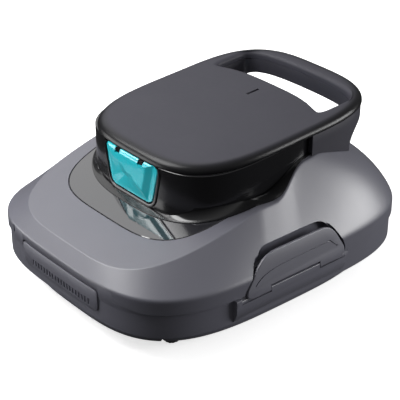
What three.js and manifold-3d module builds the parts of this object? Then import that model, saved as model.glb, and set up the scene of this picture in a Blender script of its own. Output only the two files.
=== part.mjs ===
// Cordless pool-floor cleaner, millimetres, +Z up. The origin is on the floor under the middle.
// The front (teal outlet flap, ribbed grip pad) faces -Y and the left side faces -X.
import * as THREE from 'three';
import { mergeVertices } from 'three/addons/utils/BufferGeometryUtils.js';
import Module from 'manifold-3d';

const wasm = await Module();
wasm.setup();

// ---------------------------------------------------------------- driving dimensions
const CASE_WIDTH = 324;
const CASE_LENGTH = 390.8;
const CASE_SQUARENESS = 3.83;
const WALL = 3;
const FIT = 0.4;              // gap between pieces that rest on each other
const RUN = 1;                // gap around pieces that move
const RING_POINTS = 56;

const FLOOR_BOTTOM = 8;       // underside of the base tray
const FLOOR_THICKNESS = 3;
const BILGE_Z = 31;           // height where the tray's wall turns in towards the floor
const SPLIT_Z = 59;           // parting line between tray and casing
const BASE_INSET = 2;
const FLOOR_WIDTH = 284;
const FLOOR_LENGTH = 357;
const FLOOR_SQUARENESS = 3.3;

const SKIRT_TOP = 76;         // top of the casing's vertical skirt
const SHOULDER_RUN = 34.7;    // how far the shoulder leans in before the deck begins
const DECK_Z = 110;           // deck height 100 mm in front of the middle
const DECK_TILT = 0.238;
const DECK_TOP = 127;         // the deck stops rising here
const HUMP_RISE = 22.5;       // step from the deck up to the hump behind it
const HUMP_START = -10;
const HUMP_RUN = 60;
const NOSE_DROP = 12.4;       // the deck's front edge behind the skirt
const DECK_CENTRE = 24;
const DECK_SQUARENESS = 3.92;
const INLAY_WIDTH = 218.8;
const INLAY_THICKNESS = 1.4;
const INLAY_END = -40;        // the pod covers the rest
const WELL_FLOOR_Z = 122;     // flat floor hidden under the pod

const POD_WIDTH = 213.2;
const POD_FRONT = -97;
const POD_BACK = 102;
const POD_SQUARENESS = 3.3;
const FOOT_WIDTH = 246;
const FOOT_FRONT = -105.4;
const FOOT_HEIGHT = 11;
const RIM_WIDTH = 214.8;
const RIM_LENGTH = 276;
const RIM_CENTRE = 40.1;
const RIM_Z = 177.25;
const RIM_TILT = 0.062;
const RIM_SQUARENESS = 3.36;
const COVER_EDGE = 3.6;
const COVER_CROWN = 4.2;
const HAND_HOLE_WIDTH = 170;
const HAND_HOLE_GAP = 2.6; // behind the pod's rear wall
const HAND_HOLE_BACK = 158.5;
const HANDLE_BOTTOM = 163;
const LAMP_SLOT_WIDTH = 3.2;
const LAMP_SLOT_Y = [64.5, 82.6];
const LAMP_DEPTH = 1.6;
const ARM_BACK = 123;

const FLAP_TOP_WIDTH = 89;
const FLAP_BOTTOM_WIDTH = 68;
const FLAP_BOTTOM_Z = 117;
const FLAP_HEIGHT = 46.4;
const FLAP_THICKNESS = 2.6;
const REAR_FLAP_WIDTH = 56;
const REAR_FLAP_HEIGHT = 20;
const REAR_FLAP_BOTTOM_Z = 154;
const LUG_X = 19;
const LUG_WIDTH = 7;
const STUB_RADIUS = 0.7;

const LATCH_THICKNESS = 3.2;
const LATCH_LEAN = 9;         // degrees, top towards the middle
const LATCH_HEIGHT = 42;
const LATCH_BOTTOM = [-84, 67];
const LATCH_TOP = [-51, 43];
const LATCH_PIVOT_Z = 55.5;
const LATCH_SLOT = [-45.6, 24.3];
const LATCH_PIN_RADIUS = 0.8;
const LATCH_SWEEP = 2.4;       // radius that the latch's foot sweeps round its pin
const HINGE_PANEL = [-92, 62]; // flat panel under the latch, front to rear
const POCKET_DEPTH = 12;
const FINGER_DEPTH = 20;

const GRIP_BLOCK_WIDTH = 174;
const GRIP_BLOCK_TOP = 75;
const GRIP_PAD_WIDTH = 132;
const GRIP_PAD_Z = [42.5, 66];
const GRIP_PAD_DEPTH = 2.2;
const GRIP_SLOTS = 20;
const GRIP_SLOT_SPAN = [-46, 52];
const GRIP_SLOT_Z = [45, 52];

const WHEEL_RADIUS = 18;
const TYRE_THICKNESS = 6;
const TYRE_WIDTH = 17;
const WHEEL_BASE = 256;
const TRACK = 208;
const AXLE_RADIUS = 2.4;

const MOUTH_WIDTH = 140;
const MOUTH_LENGTH = 28;
const PLATE_THICKNESS = 2.4;
const PLATE_HALF_LENGTH = 34;
const SCREW_RADIUS = 3;
const SCREW_X = 82;
const SCREW_Y = 26;
const DUCT_TOP = 23;
const BASKET_WIDTH = 168;
const BASKET_LENGTH = 208;
const BASKET_FLOOR_Z = 14;
const BASKET_TOP_Z = 53;

const MOTOR_RADIUS = 19;
const MOTOR_Y = -15;
const MOTOR_BOTTOM = 131;
const MOTOR_LENGTH = 32;
const IMPELLER_RADIUS = 24;
const IMPELLER_Z = 98;
const IMPELLER_HEIGHT = 14;
const SHAFT_RADIUS = 2.5;
const BUTTON_RADIUS = 7;
const BUTTON_X = 48;
const BUTTON_Z = 164;

// ---------------------------------------------------------------- values worked out from them
const halfWidth = CASE_WIDTH / 2;
const halfLength = CASE_LENGTH / 2;
const trayTop = SPLIT_Z - FIT / 2;
const caseBottom = SPLIT_Z + FIT / 2;
const latchPivotX = halfWidth;
const pocketWallX = halfWidth - POCKET_DEPTH;
const handHoleCentre = (POD_BACK + HAND_HOLE_GAP + HAND_HOLE_BACK) / 2;
const wheelX = TRACK / 2;
const wheelY = WHEEL_BASE / 2;
const axleZ = WHEEL_RADIUS;
const frontPivotZ = FLAP_BOTTOM_Z + FLAP_HEIGHT - 2.4;
const rearPivotZ = REAR_FLAP_BOTTOM_Z + REAR_FLAP_HEIGHT - 2.4;
const lampFloor = rimZ((LAMP_SLOT_Y[0] + LAMP_SLOT_Y[1]) / 2) + 1.4;

// ---------------------------------------------------------------- materials
function finish(colour, roughness, metalness = 0) {
  return new THREE.MeshStandardMaterial({ color: colour, roughness, metalness });
}
const greyPlastic = finish(0x7c7c86, 0.42);
const inlayPlastic = finish(0x73737d, 0.15);
const blackGloss = finish(0x101013, 0.14);
const softTouch = finish(0x4a4a54, 0.6);
const tealPlastic = finish(0x2fc8d2, 0.3);
const lampPlastic = finish(0xd8e6ea, 0.2);
const blackRubber = finish(0x1b1b1e, 0.85);
const whitePlastic = finish(0xd9dbdc, 0.5);
const steel = finish(0xb4b6ba, 0.3, 1);
const foam = finish(0xe6e3d8, 0.95);
const board = finish(0x1e5a3a, 0.5);
const cellWrap = finish(0x2b4f8f, 0.5);

// ---------------------------------------------------------------- solid helpers
function solid(geometry) {
  const bare = geometry.clone();
  bare.deleteAttribute('normal');
  bare.deleteAttribute('uv');
  const merged = mergeVertices(bare, 1e-5);
  const source = new wasm.Mesh({
    numProp: 3,
    vertProperties: new Float32Array(merged.attributes.position.array),
    triVerts: new Uint32Array(merged.index.array),
  });
  return new wasm.Manifold(source);
}

function geometryOf(body) {
  const source = body.getMesh();
  const geometry = new THREE.BufferGeometry();
  geometry.setAttribute('position', new THREE.BufferAttribute(source.vertProperties, 3));
  geometry.setIndex(new THREE.BufferAttribute(source.triVerts, 1));
  geometry.computeVertexNormals();
  return geometry;
}

function part(name, body, material) {
  const geometry = body.isBufferGeometry ? body : geometryOf(body);
  const mesh = new THREE.Mesh(geometry, material);
  mesh.name = name;
  return mesh;
}

function joined(bodies) {
  return bodies.reduce((sum, body) => sum.add(body));
}

// A box from its lowest to its highest corner.
function box(x0, x1, y0, y1, z0, z1) {
  const geometry = new THREE.BoxGeometry(x1 - x0, y1 - y0, z1 - z0);
  geometry.translate((x0 + x1) / 2, (y0 + y1) / 2, (z0 + z1) / 2);
  return solid(geometry);
}

// A cylinder along an axis, from one coordinate on that axis to another.
function rod(axis, radius, from, to, centre, sides = 16) {
  const geometry = new THREE.CylinderGeometry(radius, radius, to - from, sides);
  if (axis === 'x') {
    geometry.rotateZ(-Math.PI / 2);
    geometry.translate((from + to) / 2, centre[0], centre[1]);
  } else if (axis === 'y') {
    geometry.translate(centre[0], (from + to) / 2, centre[1]);
  } else {
    geometry.rotateX(Math.PI / 2);
    geometry.translate(centre[0], centre[1], (from + to) / 2);
  }
  return solid(geometry);
}

// A turned piece: a closed profile of [radius, height] turned about Z, or laid along an axis.
function turned(profile, sides, axis = 'z') {
  const closed = [...profile, profile[0]];
  const geometry = new THREE.LatheGeometry(closed.map(([r, h]) => new THREE.Vector2(r, h)), sides);
  if (axis === 'z') {
    geometry.rotateX(Math.PI / 2);
  }
  if (axis === 'x') {
    geometry.rotateZ(-Math.PI / 2);
  }
  let body = solid(geometry);
  if (body.volume() < 0) {
    geometry.scale(1, 1, -1);
    body = solid(geometry);
  }
  return body;
}

// A plate cut to an outline in the Y-Z plane, between two X values.
function sidePlate(points, x0, x1) {
  const shape = new THREE.Shape(points.map(([y, z]) => new THREE.Vector2(y, z)));
  const geometry = new THREE.ExtrudeGeometry(shape, { depth: x1 - x0, bevelEnabled: false });
  geometry.applyMatrix4(new THREE.Matrix4().set(0, 0, 1, x0, 1, 0, 0, 0, 0, 1, 0, 0, 0, 0, 0, 1));
  return solid(geometry);
}

// A plate cut to an outline in the X-Z plane, between two Y values.
function frontPlate(points, y0, y1) {
  const shape = new THREE.Shape(points.map(([x, z]) => new THREE.Vector2(x, z)));
  const geometry = new THREE.ExtrudeGeometry(shape, { depth: y1 - y0, bevelEnabled: false });
  geometry.applyMatrix4(new THREE.Matrix4().set(1, 0, 0, 0, 0, 0, -1, y1, 0, 1, 0, 0, 0, 0, 0, 1));
  return solid(geometry);
}

// A trapezium with rounded corners, wide side and narrow side given as [from, to].
function trapezium(low, high, z0, z1, radius) {
  const corners = [[low[0], z0], [low[1], z0], [high[1], z1], [high[0], z1]];
  const points = [];
  corners.forEach((corner, i) => {
    const before = corners[(i + 3) % 4];
    const after = corners[(i + 1) % 4];
    const towards = (end) => {
      const length = Math.hypot(end[0] - corner[0], end[1] - corner[1]);
      return [(end[0] - corner[0]) / length, (end[1] - corner[1]) / length];
    };
    const a = towards(before);
    const b = towards(after);
    for (let k = 0; k <= 4; k += 1) {
      const t = k / 4;
      const wa = radius * (1 - t) ** 2;
      const wb = radius * t ** 2;
      points.push([corner[0] + a[0] * wa + b[0] * wb, corner[1] + a[1] * wa + b[1] * wb]);
    }
  });
  return points;
}

// ---------------------------------------------------------------- rings and lofts
function smooth(t) {
  const c = Math.min(1, Math.max(0, t));
  return c * c * (3 - 2 * c);
}

// Points around a superellipse whose front and back halves may have different lengths.
// width and height may be numbers or functions of y.
function ring({ width, front, back, centre = 0, square, z, shrink = 0 }) {
  const points = [];
  for (let i = 0; i < RING_POINTS; i += 1) {
    const angle = (2 * Math.PI * (i + 0.5)) / RING_POINTS;
    const c = Math.cos(angle);
    const s = Math.sin(angle);
    const reach = (Math.abs(c) ** square + Math.abs(s) ** square) ** (-1 / square);
    const length = (s < 0 ? centre - front : back - centre) - shrink;
    const y = centre + s * reach * length;
    const half = (typeof width === 'function' ? width(y) : width) / 2 - shrink;
    const height = typeof z === 'function' ? z(y, c * reach * half) : z;
    points.push([c * reach * half, y, height]);
  }
  return points;
}

// The same ring at the heights of another ring, plus a rise.
function levelled(points, reference, rise = 0) {
  return points.map(([x, y], i) => [x, y, reference[i][2] + rise]);
}

// A closed surface through rings. With loop, the last ring joins the first; otherwise both ends
// are closed by flat fans.
function loft(rings, loop = false) {
  const count = RING_POINTS;
  const positions = rings.flat(2);
  const index = [];
  const bands = loop ? rings.length : rings.length - 1;
  for (let k = 0; k < bands; k += 1) {
    const lower = k * count;
    const upper = ((k + 1) % rings.length) * count;
    for (let i = 0; i < count; i += 1) {
      const j = (i + 1) % count;
      index.push(lower + i, lower + j, upper + j, lower + i, upper + j, upper + i);
    }
  }
  if (!loop) {
    [[0, 1], [rings.length - 1, -1]].forEach(([k, turn]) => {
      const points = rings[k];
      const middle = [0, 1, 2].map((d) => points.reduce((sum, p) => sum + p[d], 0) / count);
      const tip = positions.length / 3;
      positions.push(...middle);
      for (let i = 0; i < count; i += 1) {
        const a = k * count + i;
        const b = k * count + ((i + 1) % count);
        index.push(tip, turn > 0 ? b : a, turn > 0 ? a : b);
      }
    });
  }
  const geometry = new THREE.BufferGeometry();
  geometry.setAttribute('position', new THREE.BufferAttribute(new Float32Array(positions), 3));
  geometry.setIndex(index);
  const body = solid(geometry);
  if (body.volume() > 0) {
    return body;
  }
  const flipped = [];
  for (let i = 0; i < index.length; i += 3) {
    flipped.push(index[i], index[i + 2], index[i + 1]);
  }
  geometry.setIndex(flipped);
  return solid(geometry);
}

function prism(outline, z0, z1) {
  return loft([ring({ ...outline, z: z0 }), ring({ ...outline, z: z1 })]);
}

// ---------------------------------------------------------------- outlines of the object
function caseOutline(shrink = 0) {
  return { width: CASE_WIDTH, front: -halfLength, back: halfLength, square: CASE_SQUARENESS, shrink };
}

function floorOutline(shrink = 0) {
  return {
    width: FLOOR_WIDTH, front: -FLOOR_LENGTH / 2, back: FLOOR_LENGTH / 2,
    square: FLOOR_SQUARENESS, shrink,
  };
}

// Height of the casing's cap: a tilted deck in front, a step up to the hump behind.
function capZ(y) {
  const deck = Math.min(DECK_Z + DECK_TILT * (y + 100), DECK_TOP);
  return deck + HUMP_RISE * smooth((y - HUMP_START) / HUMP_RUN);
}

function capWidth(y) {
  const deck = CASE_WIDTH - 2 * SHOULDER_RUN;
  const neck = POD_WIDTH + 6;
  return deck + (neck - deck) * smooth((y - HUMP_START) / HUMP_RUN);
}

function capOutline(shrink = 0) {
  return {
    width: capWidth, front: -halfLength + NOSE_DROP, back: POD_BACK + 6,
    centre: DECK_CENTRE, square: DECK_SQUARENESS, shrink,
  };
}

function inlayOutline(shrink = 0) {
  const width = (y) => INLAY_WIDTH - 13 * smooth(y / 45);
  return { width, front: -132.5, back: POD_BACK - 2, centre: 7.2, square: 4, shrink };
}

function inlayInnerOutline(shrink = 0) {
  const width = POD_WIDTH - 24;
  return { width, front: POD_FRONT + 8, back: POD_BACK - 10, square: POD_SQUARENESS, shrink };
}

function podOutline(shrink = 0) {
  return { width: POD_WIDTH, front: POD_FRONT, back: POD_BACK, centre: 2.5, square: POD_SQUARENESS, shrink };
}

function footOutline(shrink = 0) {
  const width = (y) => Math.min(FOOT_WIDTH, capWidth(y) - 3);
  return { width, front: FOOT_FRONT, back: POD_BACK + 4, centre: DECK_CENTRE, square: 2.8, shrink };
}

function rimOutline(shrink = 0) {
  const width = (y) => RIM_WIDTH * (1 + 0.03 * smooth((y - RIM_CENTRE) / 120));
  return {
    width, front: RIM_CENTRE - RIM_LENGTH / 2, back: RIM_CENTRE + RIM_LENGTH / 2,
    centre: RIM_CENTRE, square: RIM_SQUARENESS, shrink,
  };
}

function rimZ(y) {
  return RIM_Z + RIM_TILT * (y - RIM_CENTRE);
}

function footTopZ(y) {
  const rise = 2 + (FOOT_HEIGHT - 2) * smooth((y + 94) / 14);
  const low = Math.min(capZ(y) + rise * (1 - smooth((y + 60) / 50)), 129.5);
  return Math.max(low + 18.5 * smooth((y - 8) / 42), capZ(y) + 1.6);
}

// A ring part of the way up the shoulder, from the skirt's top edge to the cap's edge. The rear
// of the shoulder bulges outwards.
function shoulderRing(t, shrink, drop) {
  const low = ring({ ...caseOutline(shrink), z: SKIRT_TOP - drop });
  const high = ring({ ...capOutline(shrink), z: (y) => capZ(y) - drop });
  return low.map((p, i) => {
    const q = high[i];
    const rear = Math.max(0, Math.sin((2 * Math.PI * (i + 0.5)) / RING_POINTS)) ** 1.2;
    const bulge = 14 * 4 * t * (1 - t) * rear;
    return [
      p[0] + (q[0] - p[0]) * t + Math.sign(p[0]) * Math.min(bulge * 0.35, Math.abs(p[0]) * 0.1),
      p[1] + (q[1] - p[1]) * t + bulge * 0.75,
      p[2] + (q[2] - p[2]) * t + bulge * 0.65,
    ];
  });
}

function shellRings(shrink, drop, bottom) {
  return [
    ring({ ...caseOutline(shrink), z: bottom }),
    ...[0, 0.25, 0.5, 0.75, 1].map((t) => shoulderRing(t, shrink, drop)),
  ];
}

// The space that the casing takes up, filled in, with every face moved out by a gap.
function casingEnvelope(gap) {
  const rings = shellRings(-gap, -gap, caseBottom - gap);
  rings.push(ring({ ...inlayOutline(), z: (y) => capZ(y) + gap }));
  rings.push(ring({ ...inlayInnerOutline(), z: (y) => capZ(y) + gap }));
  return loft(rings);
}

// ---------------------------------------------------------------- base tray
function wheelWell(x, y) {
  const half = TYRE_WIDTH / 2 + RUN;
  const reach = WHEEL_RADIUS + RUN + 1;
  const top = axleZ + WHEEL_RADIUS + RUN;
  return [x - half, x + half, y - reach, y + reach, top];
}

function gripRing(inner, outer, z0, z1, halfSpan, sign) {
  const band = prism(caseOutline(outer), z0, z1).subtract(prism(caseOutline(inner), z0 - 1, z1 + 1));
  const y = sign * halfLength;
  const span = box(-halfSpan, halfSpan, Math.min(y, 0) - 5, Math.max(y, 0) + 5, z0 - 1, z1 + 1);
  return band.intersect(span);
}

function gripBlock(sign) {
  return gripRing(BASE_INSET + WALL, 0.2, 40, GRIP_BLOCK_TOP, GRIP_BLOCK_WIDTH / 2, sign);
}

function gripPocket(sign) {
  return gripRing(0.2 + GRIP_PAD_DEPTH + FIT, -2, GRIP_PAD_Z[0] - FIT, GRIP_PAD_Z[1] + 2,
    GRIP_PAD_WIDTH / 2 + 4, sign);
}

function trayOutside() {
  return [
    ring({ ...floorOutline(), z: FLOOR_BOTTOM }),
    ring({ ...floorOutline(-5), z: FLOOR_BOTTOM + 6 }),
    ring({ ...caseOutline(BASE_INSET), z: BILGE_Z }),
    ring({ ...caseOutline(BASE_INSET), z: trayTop }),
  ];
}

function trayShell() {
  const inner = BASE_INSET + WALL;
  const floorTop = FLOOR_BOTTOM + FLOOR_THICKNESS;
  return loft([
    ...trayOutside(),
    ring({ ...caseOutline(inner), z: trayTop }),
    ring({ ...caseOutline(inner), z: BILGE_Z }),
    ring({ ...floorOutline(-5 + WALL), z: FLOOR_BOTTOM + 7 }),
    ring({ ...floorOutline(WALL), z: floorTop }),
  ]);
}

function hingeBlock(sign) {
  const pin = rod('y', LATCH_PIN_RADIUS + 0.35, LATCH_SLOT[0] - 1, LATCH_SLOT[1] + 1,
    [latchPivotX, LATCH_PIVOT_Z]);
  const block = box(halfWidth - BASE_INSET - 2, halfWidth + 1.6, LATCH_SLOT[0] + 0.8,
    LATCH_SLOT[1] - 0.8, LATCH_PIVOT_Z - 5, LATCH_PIVOT_Z + 1.7);
  const panel = box(halfWidth - BASE_INSET - 2, halfWidth - 0.7, HINGE_PANEL[0], HINGE_PANEL[1],
    BILGE_Z - 1, LATCH_PIVOT_Z - 2.2);
  return mirrored(joined([block.subtract(pin), panel]), sign);
}

// Room in the tray's wall for the latch's foot to turn round its pin, on both sides of the block.
function latchSweep(sign) {
  const axis = [latchPivotX, LATCH_PIVOT_Z];
  const front = rod('y', LATCH_SWEEP, LATCH_BOTTOM[0] - 1, LATCH_SLOT[0] + 0.3, axis);
  const rear = rod('y', LATCH_SWEEP, LATCH_SLOT[1] - 0.3, LATCH_BOTTOM[1] + 1, axis);
  return mirrored(front.add(rear), sign);
}

function mirrored(body, sign) {
  return sign > 0 ? body : body.mirror([1, 0, 0]);
}

function baseTray() {
  let tray = joined([trayShell(), gripBlock(-1), gripBlock(1), hingeBlock(1), hingeBlock(-1)]);
  for (const sign of [-1, 1]) {
    tray = tray.subtract(gripPocket(sign)).subtract(latchSweep(sign));
  }
  for (const sx of [-1, 1]) {
    for (const sy of [-1, 1]) {
      const [x0, x1, y0, y1, top] = wheelWell(sx * wheelX, sy * wheelY);
      const housing = box(x0 - WALL, x1 + WALL, y0 - WALL, y1 + WALL, FLOOR_BOTTOM, top + WALL);
      tray = tray.add(housing.intersect(loft(trayOutside())));
      tray = tray.subtract(box(x0, x1, y0, y1, FLOOR_BOTTOM - 5, top));
    }
  }
  for (const sy of [-1, 1]) {
    tray = tray.subtract(rod('x', AXLE_RADIUS + FIT, -wheelX - 20, wheelX + 20, [sy * wheelY, axleZ]));
  }
  const mouth = box(-MOUTH_WIDTH / 2, MOUTH_WIDTH / 2, -MOUTH_LENGTH / 2, MOUTH_LENGTH / 2,
    FLOOR_BOTTOM - 1, FLOOR_BOTTOM + FLOOR_THICKNESS + 1);
  return part('base_tray', tray.subtract(mouth), greyPlastic);
}

function gripPad(name, sign) {
  const outer = 0.2;
  let pad = gripRing(outer + GRIP_PAD_DEPTH, outer, GRIP_PAD_Z[0], GRIP_PAD_Z[1], GRIP_PAD_WIDTH / 2, sign);
  const ribs = [];
  const [from, to] = GRIP_SLOT_SPAN;
  for (let i = 0; i < GRIP_SLOTS; i += 1) {
    const x = from + ((to - from) * i) / (GRIP_SLOTS - 1);
    const y = sign * halfLength;
    ribs.push(box(x - 1, x + 1, y - 2.2, y + 2.2, GRIP_SLOT_Z[0], GRIP_SLOT_Z[1]));
  }
  const band = gripRing(outer + 0.9, -3, 44, 53, GRIP_PAD_WIDTH / 2, sign);
  pad = pad.subtract(joined(ribs).intersect(band));
  return part(name, pad, greyPlastic);
}

function rimSeal() {
  const gap = BASE_INSET + WALL + FIT;
  const seal = loft([
    ring({ ...caseOutline(gap), z: SPLIT_Z - 8 }),
    ring({ ...caseOutline(gap), z: trayTop }),
    ring({ ...caseOutline(gap + 1.8), z: trayTop }),
    ring({ ...caseOutline(gap + 1.8), z: SPLIT_Z - 8 }),
  ], true);
  return part('rim_seal', seal, blackRubber);
}

function suctionPlate() {
  const top = FLOOR_BOTTOM - FIT;
  const low = top - PLATE_THICKNESS;
  const plate = box(-MOUTH_WIDTH / 2 - 20, MOUTH_WIDTH / 2 + 20, -PLATE_HALF_LENGTH,
    PLATE_HALF_LENGTH, low, top);
  const cuts = [box(-MOUTH_WIDTH / 2 + 2, MOUTH_WIDTH / 2 - 2, -MOUTH_LENGTH / 2 + 2,
    MOUTH_LENGTH / 2 - 2, top - 5, top + 1)];
  for (const x of [-SCREW_X, SCREW_X]) {
    for (const y of [-SCREW_Y, SCREW_Y]) {
      cuts.push(rod('z', SCREW_RADIUS + FIT, low - 1, top - 0.6, [x, y], 24));
    }
  }
  return part('suction_plate', plate.subtract(joined(cuts)), blackGloss);
}

function suctionDuct() {
  const low = FLOOR_BOTTOM + FLOOR_THICKNESS + FIT;
  const outer = box(-MOUTH_WIDTH / 2, MOUTH_WIDTH / 2, -MOUTH_LENGTH / 2, MOUTH_LENGTH / 2, low, DUCT_TOP);
  const inner = box(-MOUTH_WIDTH / 2 + 2, MOUTH_WIDTH / 2 - 2, -MOUTH_LENGTH / 2 + 2,
    MOUTH_LENGTH / 2 - 2, low - 1, DUCT_TOP + 1);
  const pinY = -MOUTH_LENGTH / 2 - 3.4;
  const pinZ = DUCT_TOP + 2.2;
  const ears = [];
  for (const sx of [-1, 1]) {
    const x = sx * (MOUTH_WIDTH / 2 - 4);
    const ear = box(x - 2, x + 2, pinY - 2.6, -MOUTH_LENGTH / 2 + 0.5, low + 4, pinZ + 2.4);
    ears.push(ear.subtract(rod('x', 1.35, x - 3, x + 3, [pinY, pinZ])));
  }
  return part('suction_duct', joined([outer.subtract(inner), ...ears]), blackGloss);
}

function intakeFlap() {
  const pinY = -MOUTH_LENGTH / 2 - 3.4;
  const pinZ = DUCT_TOP + 2.2;
  const half = MOUTH_WIDTH / 2 - 7;
  const leaf = box(-half, half, pinY, MOUTH_LENGTH / 2 + 1, DUCT_TOP + 0.5, DUCT_TOP + 2.5);
  const barrel = rod('x', 2.6, -half, half, [pinY, pinZ]);
  const bore = rod('x', 1.5, -half - 1, half + 1, [pinY, pinZ]);
  const clear = box(-half - 1, half + 1, pinY - 5, -MOUTH_LENGTH / 2 + 0.4, 0, DUCT_TOP + 0.1);
  return part('intake_flap', leaf.add(barrel).subtract(bore).subtract(clear), blackRubber);
}

function intakeFlapPin() {
  const pin = rod('x', 1, -MOUTH_WIDTH / 2 + 1, MOUTH_WIDTH / 2 - 1,
    [-MOUTH_LENGTH / 2 - 3.4, DUCT_TOP + 2.2], 12);
  return part('intake_flap_pin', pin, steel);
}

function sweeper(name, sign) {
  const y = sign * 52;
  const top = FLOOR_BOTTOM - FIT;
  const strip = joined([
    box(-78, 78, y - 5, y + 5, top - 2.2, top),
    box(-76, 76, y - 1.2, y + 1.2, 2.2, top - 1),
  ]);
  return part(name, strip, blackRubber);
}

function axle(name, sign) {
  const rodBody = rod('x', AXLE_RADIUS, -wheelX - 13.2, wheelX + 13.2, [sign * wheelY, axleZ]);
  return part(name, rodBody, steel);
}

function wheelHub(name, sx, sy) {
  const hubRadius = WHEEL_RADIUS - TYRE_THICKNESS - FIT;
  const half = TYRE_WIDTH / 2 - 1;
  const bore = AXLE_RADIUS + FIT;
  const profile = [
    [bore, -half], [bore + 3, -half], [bore + 3.6, -half + 3], [hubRadius - 2, -half + 3],
    [hubRadius - 1.4, -half], [hubRadius, -half], [hubRadius, half], [hubRadius - 1.4, half],
    [hubRadius - 2, half - 3], [bore + 3.6, half - 3], [bore + 3, half], [bore, half],
  ];
  const mesh = part(name, turned(profile, 18, 'x'), whitePlastic);
  mesh.position.set(sx * wheelX, sy * wheelY, axleZ);
  return mesh;
}

function wheelTyre(name, sx, sy) {
  const low = WHEEL_RADIUS - TYRE_THICKNESS;
  const half = TYRE_WIDTH / 2;
  const profile = [
    [low, -half + 1], [WHEEL_RADIUS - 2, -half], [WHEEL_RADIUS, -half + 3],
    [WHEEL_RADIUS, half - 3], [WHEEL_RADIUS - 2, half], [low, half - 1],
  ];
  const mesh = part(name, turned(profile, 24, 'x'), blackRubber);
  mesh.position.set(sx * wheelX, sy * wheelY, axleZ);
  return mesh;
}

function plateScrew(name, sx, sy) {
  const low = FLOOR_BOTTOM - FIT - PLATE_THICKNESS + 0.2;
  const head = rod('z', SCREW_RADIUS, low, low + 1.4, [sx * SCREW_X, sy * SCREW_Y], 24);
  return part(name, head, steel);
}

// ---------------------------------------------------------------- filter
function basketOutline(shrink = 0) {
  return { width: BASKET_WIDTH, front: -BASKET_LENGTH / 2, back: BASKET_LENGTH / 2, square: 6, shrink };
}

function filterBasket() {
  let basket = prism(basketOutline(), BASKET_FLOOR_Z, BASKET_TOP_Z);
  basket = basket.subtract(prism(basketOutline(2.4), BASKET_FLOOR_Z + 2, BASKET_TOP_Z + 5));
  const inlet = box(-MOUTH_WIDTH / 2 - 4, MOUTH_WIDTH / 2 + 4, -MOUTH_LENGTH / 2 - 9,
    MOUTH_LENGTH / 2 + 4, BASKET_FLOOR_Z - 5, BASKET_FLOOR_Z + 5);
  basket = basket.subtract(inlet);
  const windowLow = BASKET_FLOOR_Z + 7;
  const windowHigh = BASKET_TOP_Z - 7;
  for (const y of [-66, -22, 22, 66]) {
    basket = basket.subtract(box(-200, 200, y - 17, y + 17, windowLow, windowHigh));
  }
  for (const x of [-36, 36]) {
    basket = basket.subtract(box(x - 28, x + 28, -300, 300, windowLow, windowHigh));
  }
  return part('filter_basket', basket, whitePlastic);
}

function filterMesh() {
  const low = BASKET_FLOOR_Z + 2 + FIT;
  const high = BASKET_TOP_Z - 1;
  const screen = loft([
    ring({ ...basketOutline(2.4 + FIT), z: low }),
    ring({ ...basketOutline(2.4 + FIT), z: high }),
    ring({ ...basketOutline(3.8 + FIT), z: high }),
    ring({ ...basketOutline(3.8 + FIT), z: low }),
  ], true);
  return part('filter_mesh', screen, whitePlastic);
}

function basketLid() {
  const low = BASKET_TOP_Z + FIT;
  const lid = prism(basketOutline(-1), low, low + 2);
  const tab = box(-22, 22, -4, 4, low + 1, low + 12).subtract(box(-16, 16, -5, 5, low + 2, low + 8));
  return part('basket_lid', lid.add(tab), tealPlastic);
}

// ---------------------------------------------------------------- casing
function latchPocket(sign) {
  const low = caseBottom - 5;
  const high = LATCH_PIVOT_Z + LATCH_HEIGHT + 1.5;
  const grow = 1.8;
  const outline = trapezium([LATCH_BOTTOM[0] - grow, LATCH_BOTTOM[1] + grow],
    [LATCH_TOP[0] - grow, LATCH_TOP[1] + grow], low, high, 5);
  const deep = halfWidth - FINGER_DEPTH;
  const finger = trapezium([LATCH_TOP[0] - grow, LATCH_TOP[1] + grow],
    [LATCH_TOP[0] - grow, LATCH_TOP[1] + grow], SKIRT_TOP + 4, high, 3);
  return mirrored(joined([
    sidePlate(outline, pocketWallX, halfWidth + 20),
    sidePlate(finger, deep, halfWidth + 20),
  ]), sign);
}

function pocketBacking(sign) {
  const low = caseBottom;
  const high = LATCH_PIVOT_Z + LATCH_HEIGHT + 5;
  const y0 = LATCH_BOTTOM[0] - 5;
  const y1 = LATCH_BOTTOM[1] + 5;
  return mirrored(joined([
    box(pocketWallX - WALL, halfWidth, y0, y1, low, high),
    box(halfWidth - FINGER_DEPTH - WALL, halfWidth, LATCH_TOP[0] - 5, LATCH_TOP[1] + 5,
      SKIRT_TOP + 1, high),
  ]), sign);
}

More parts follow.
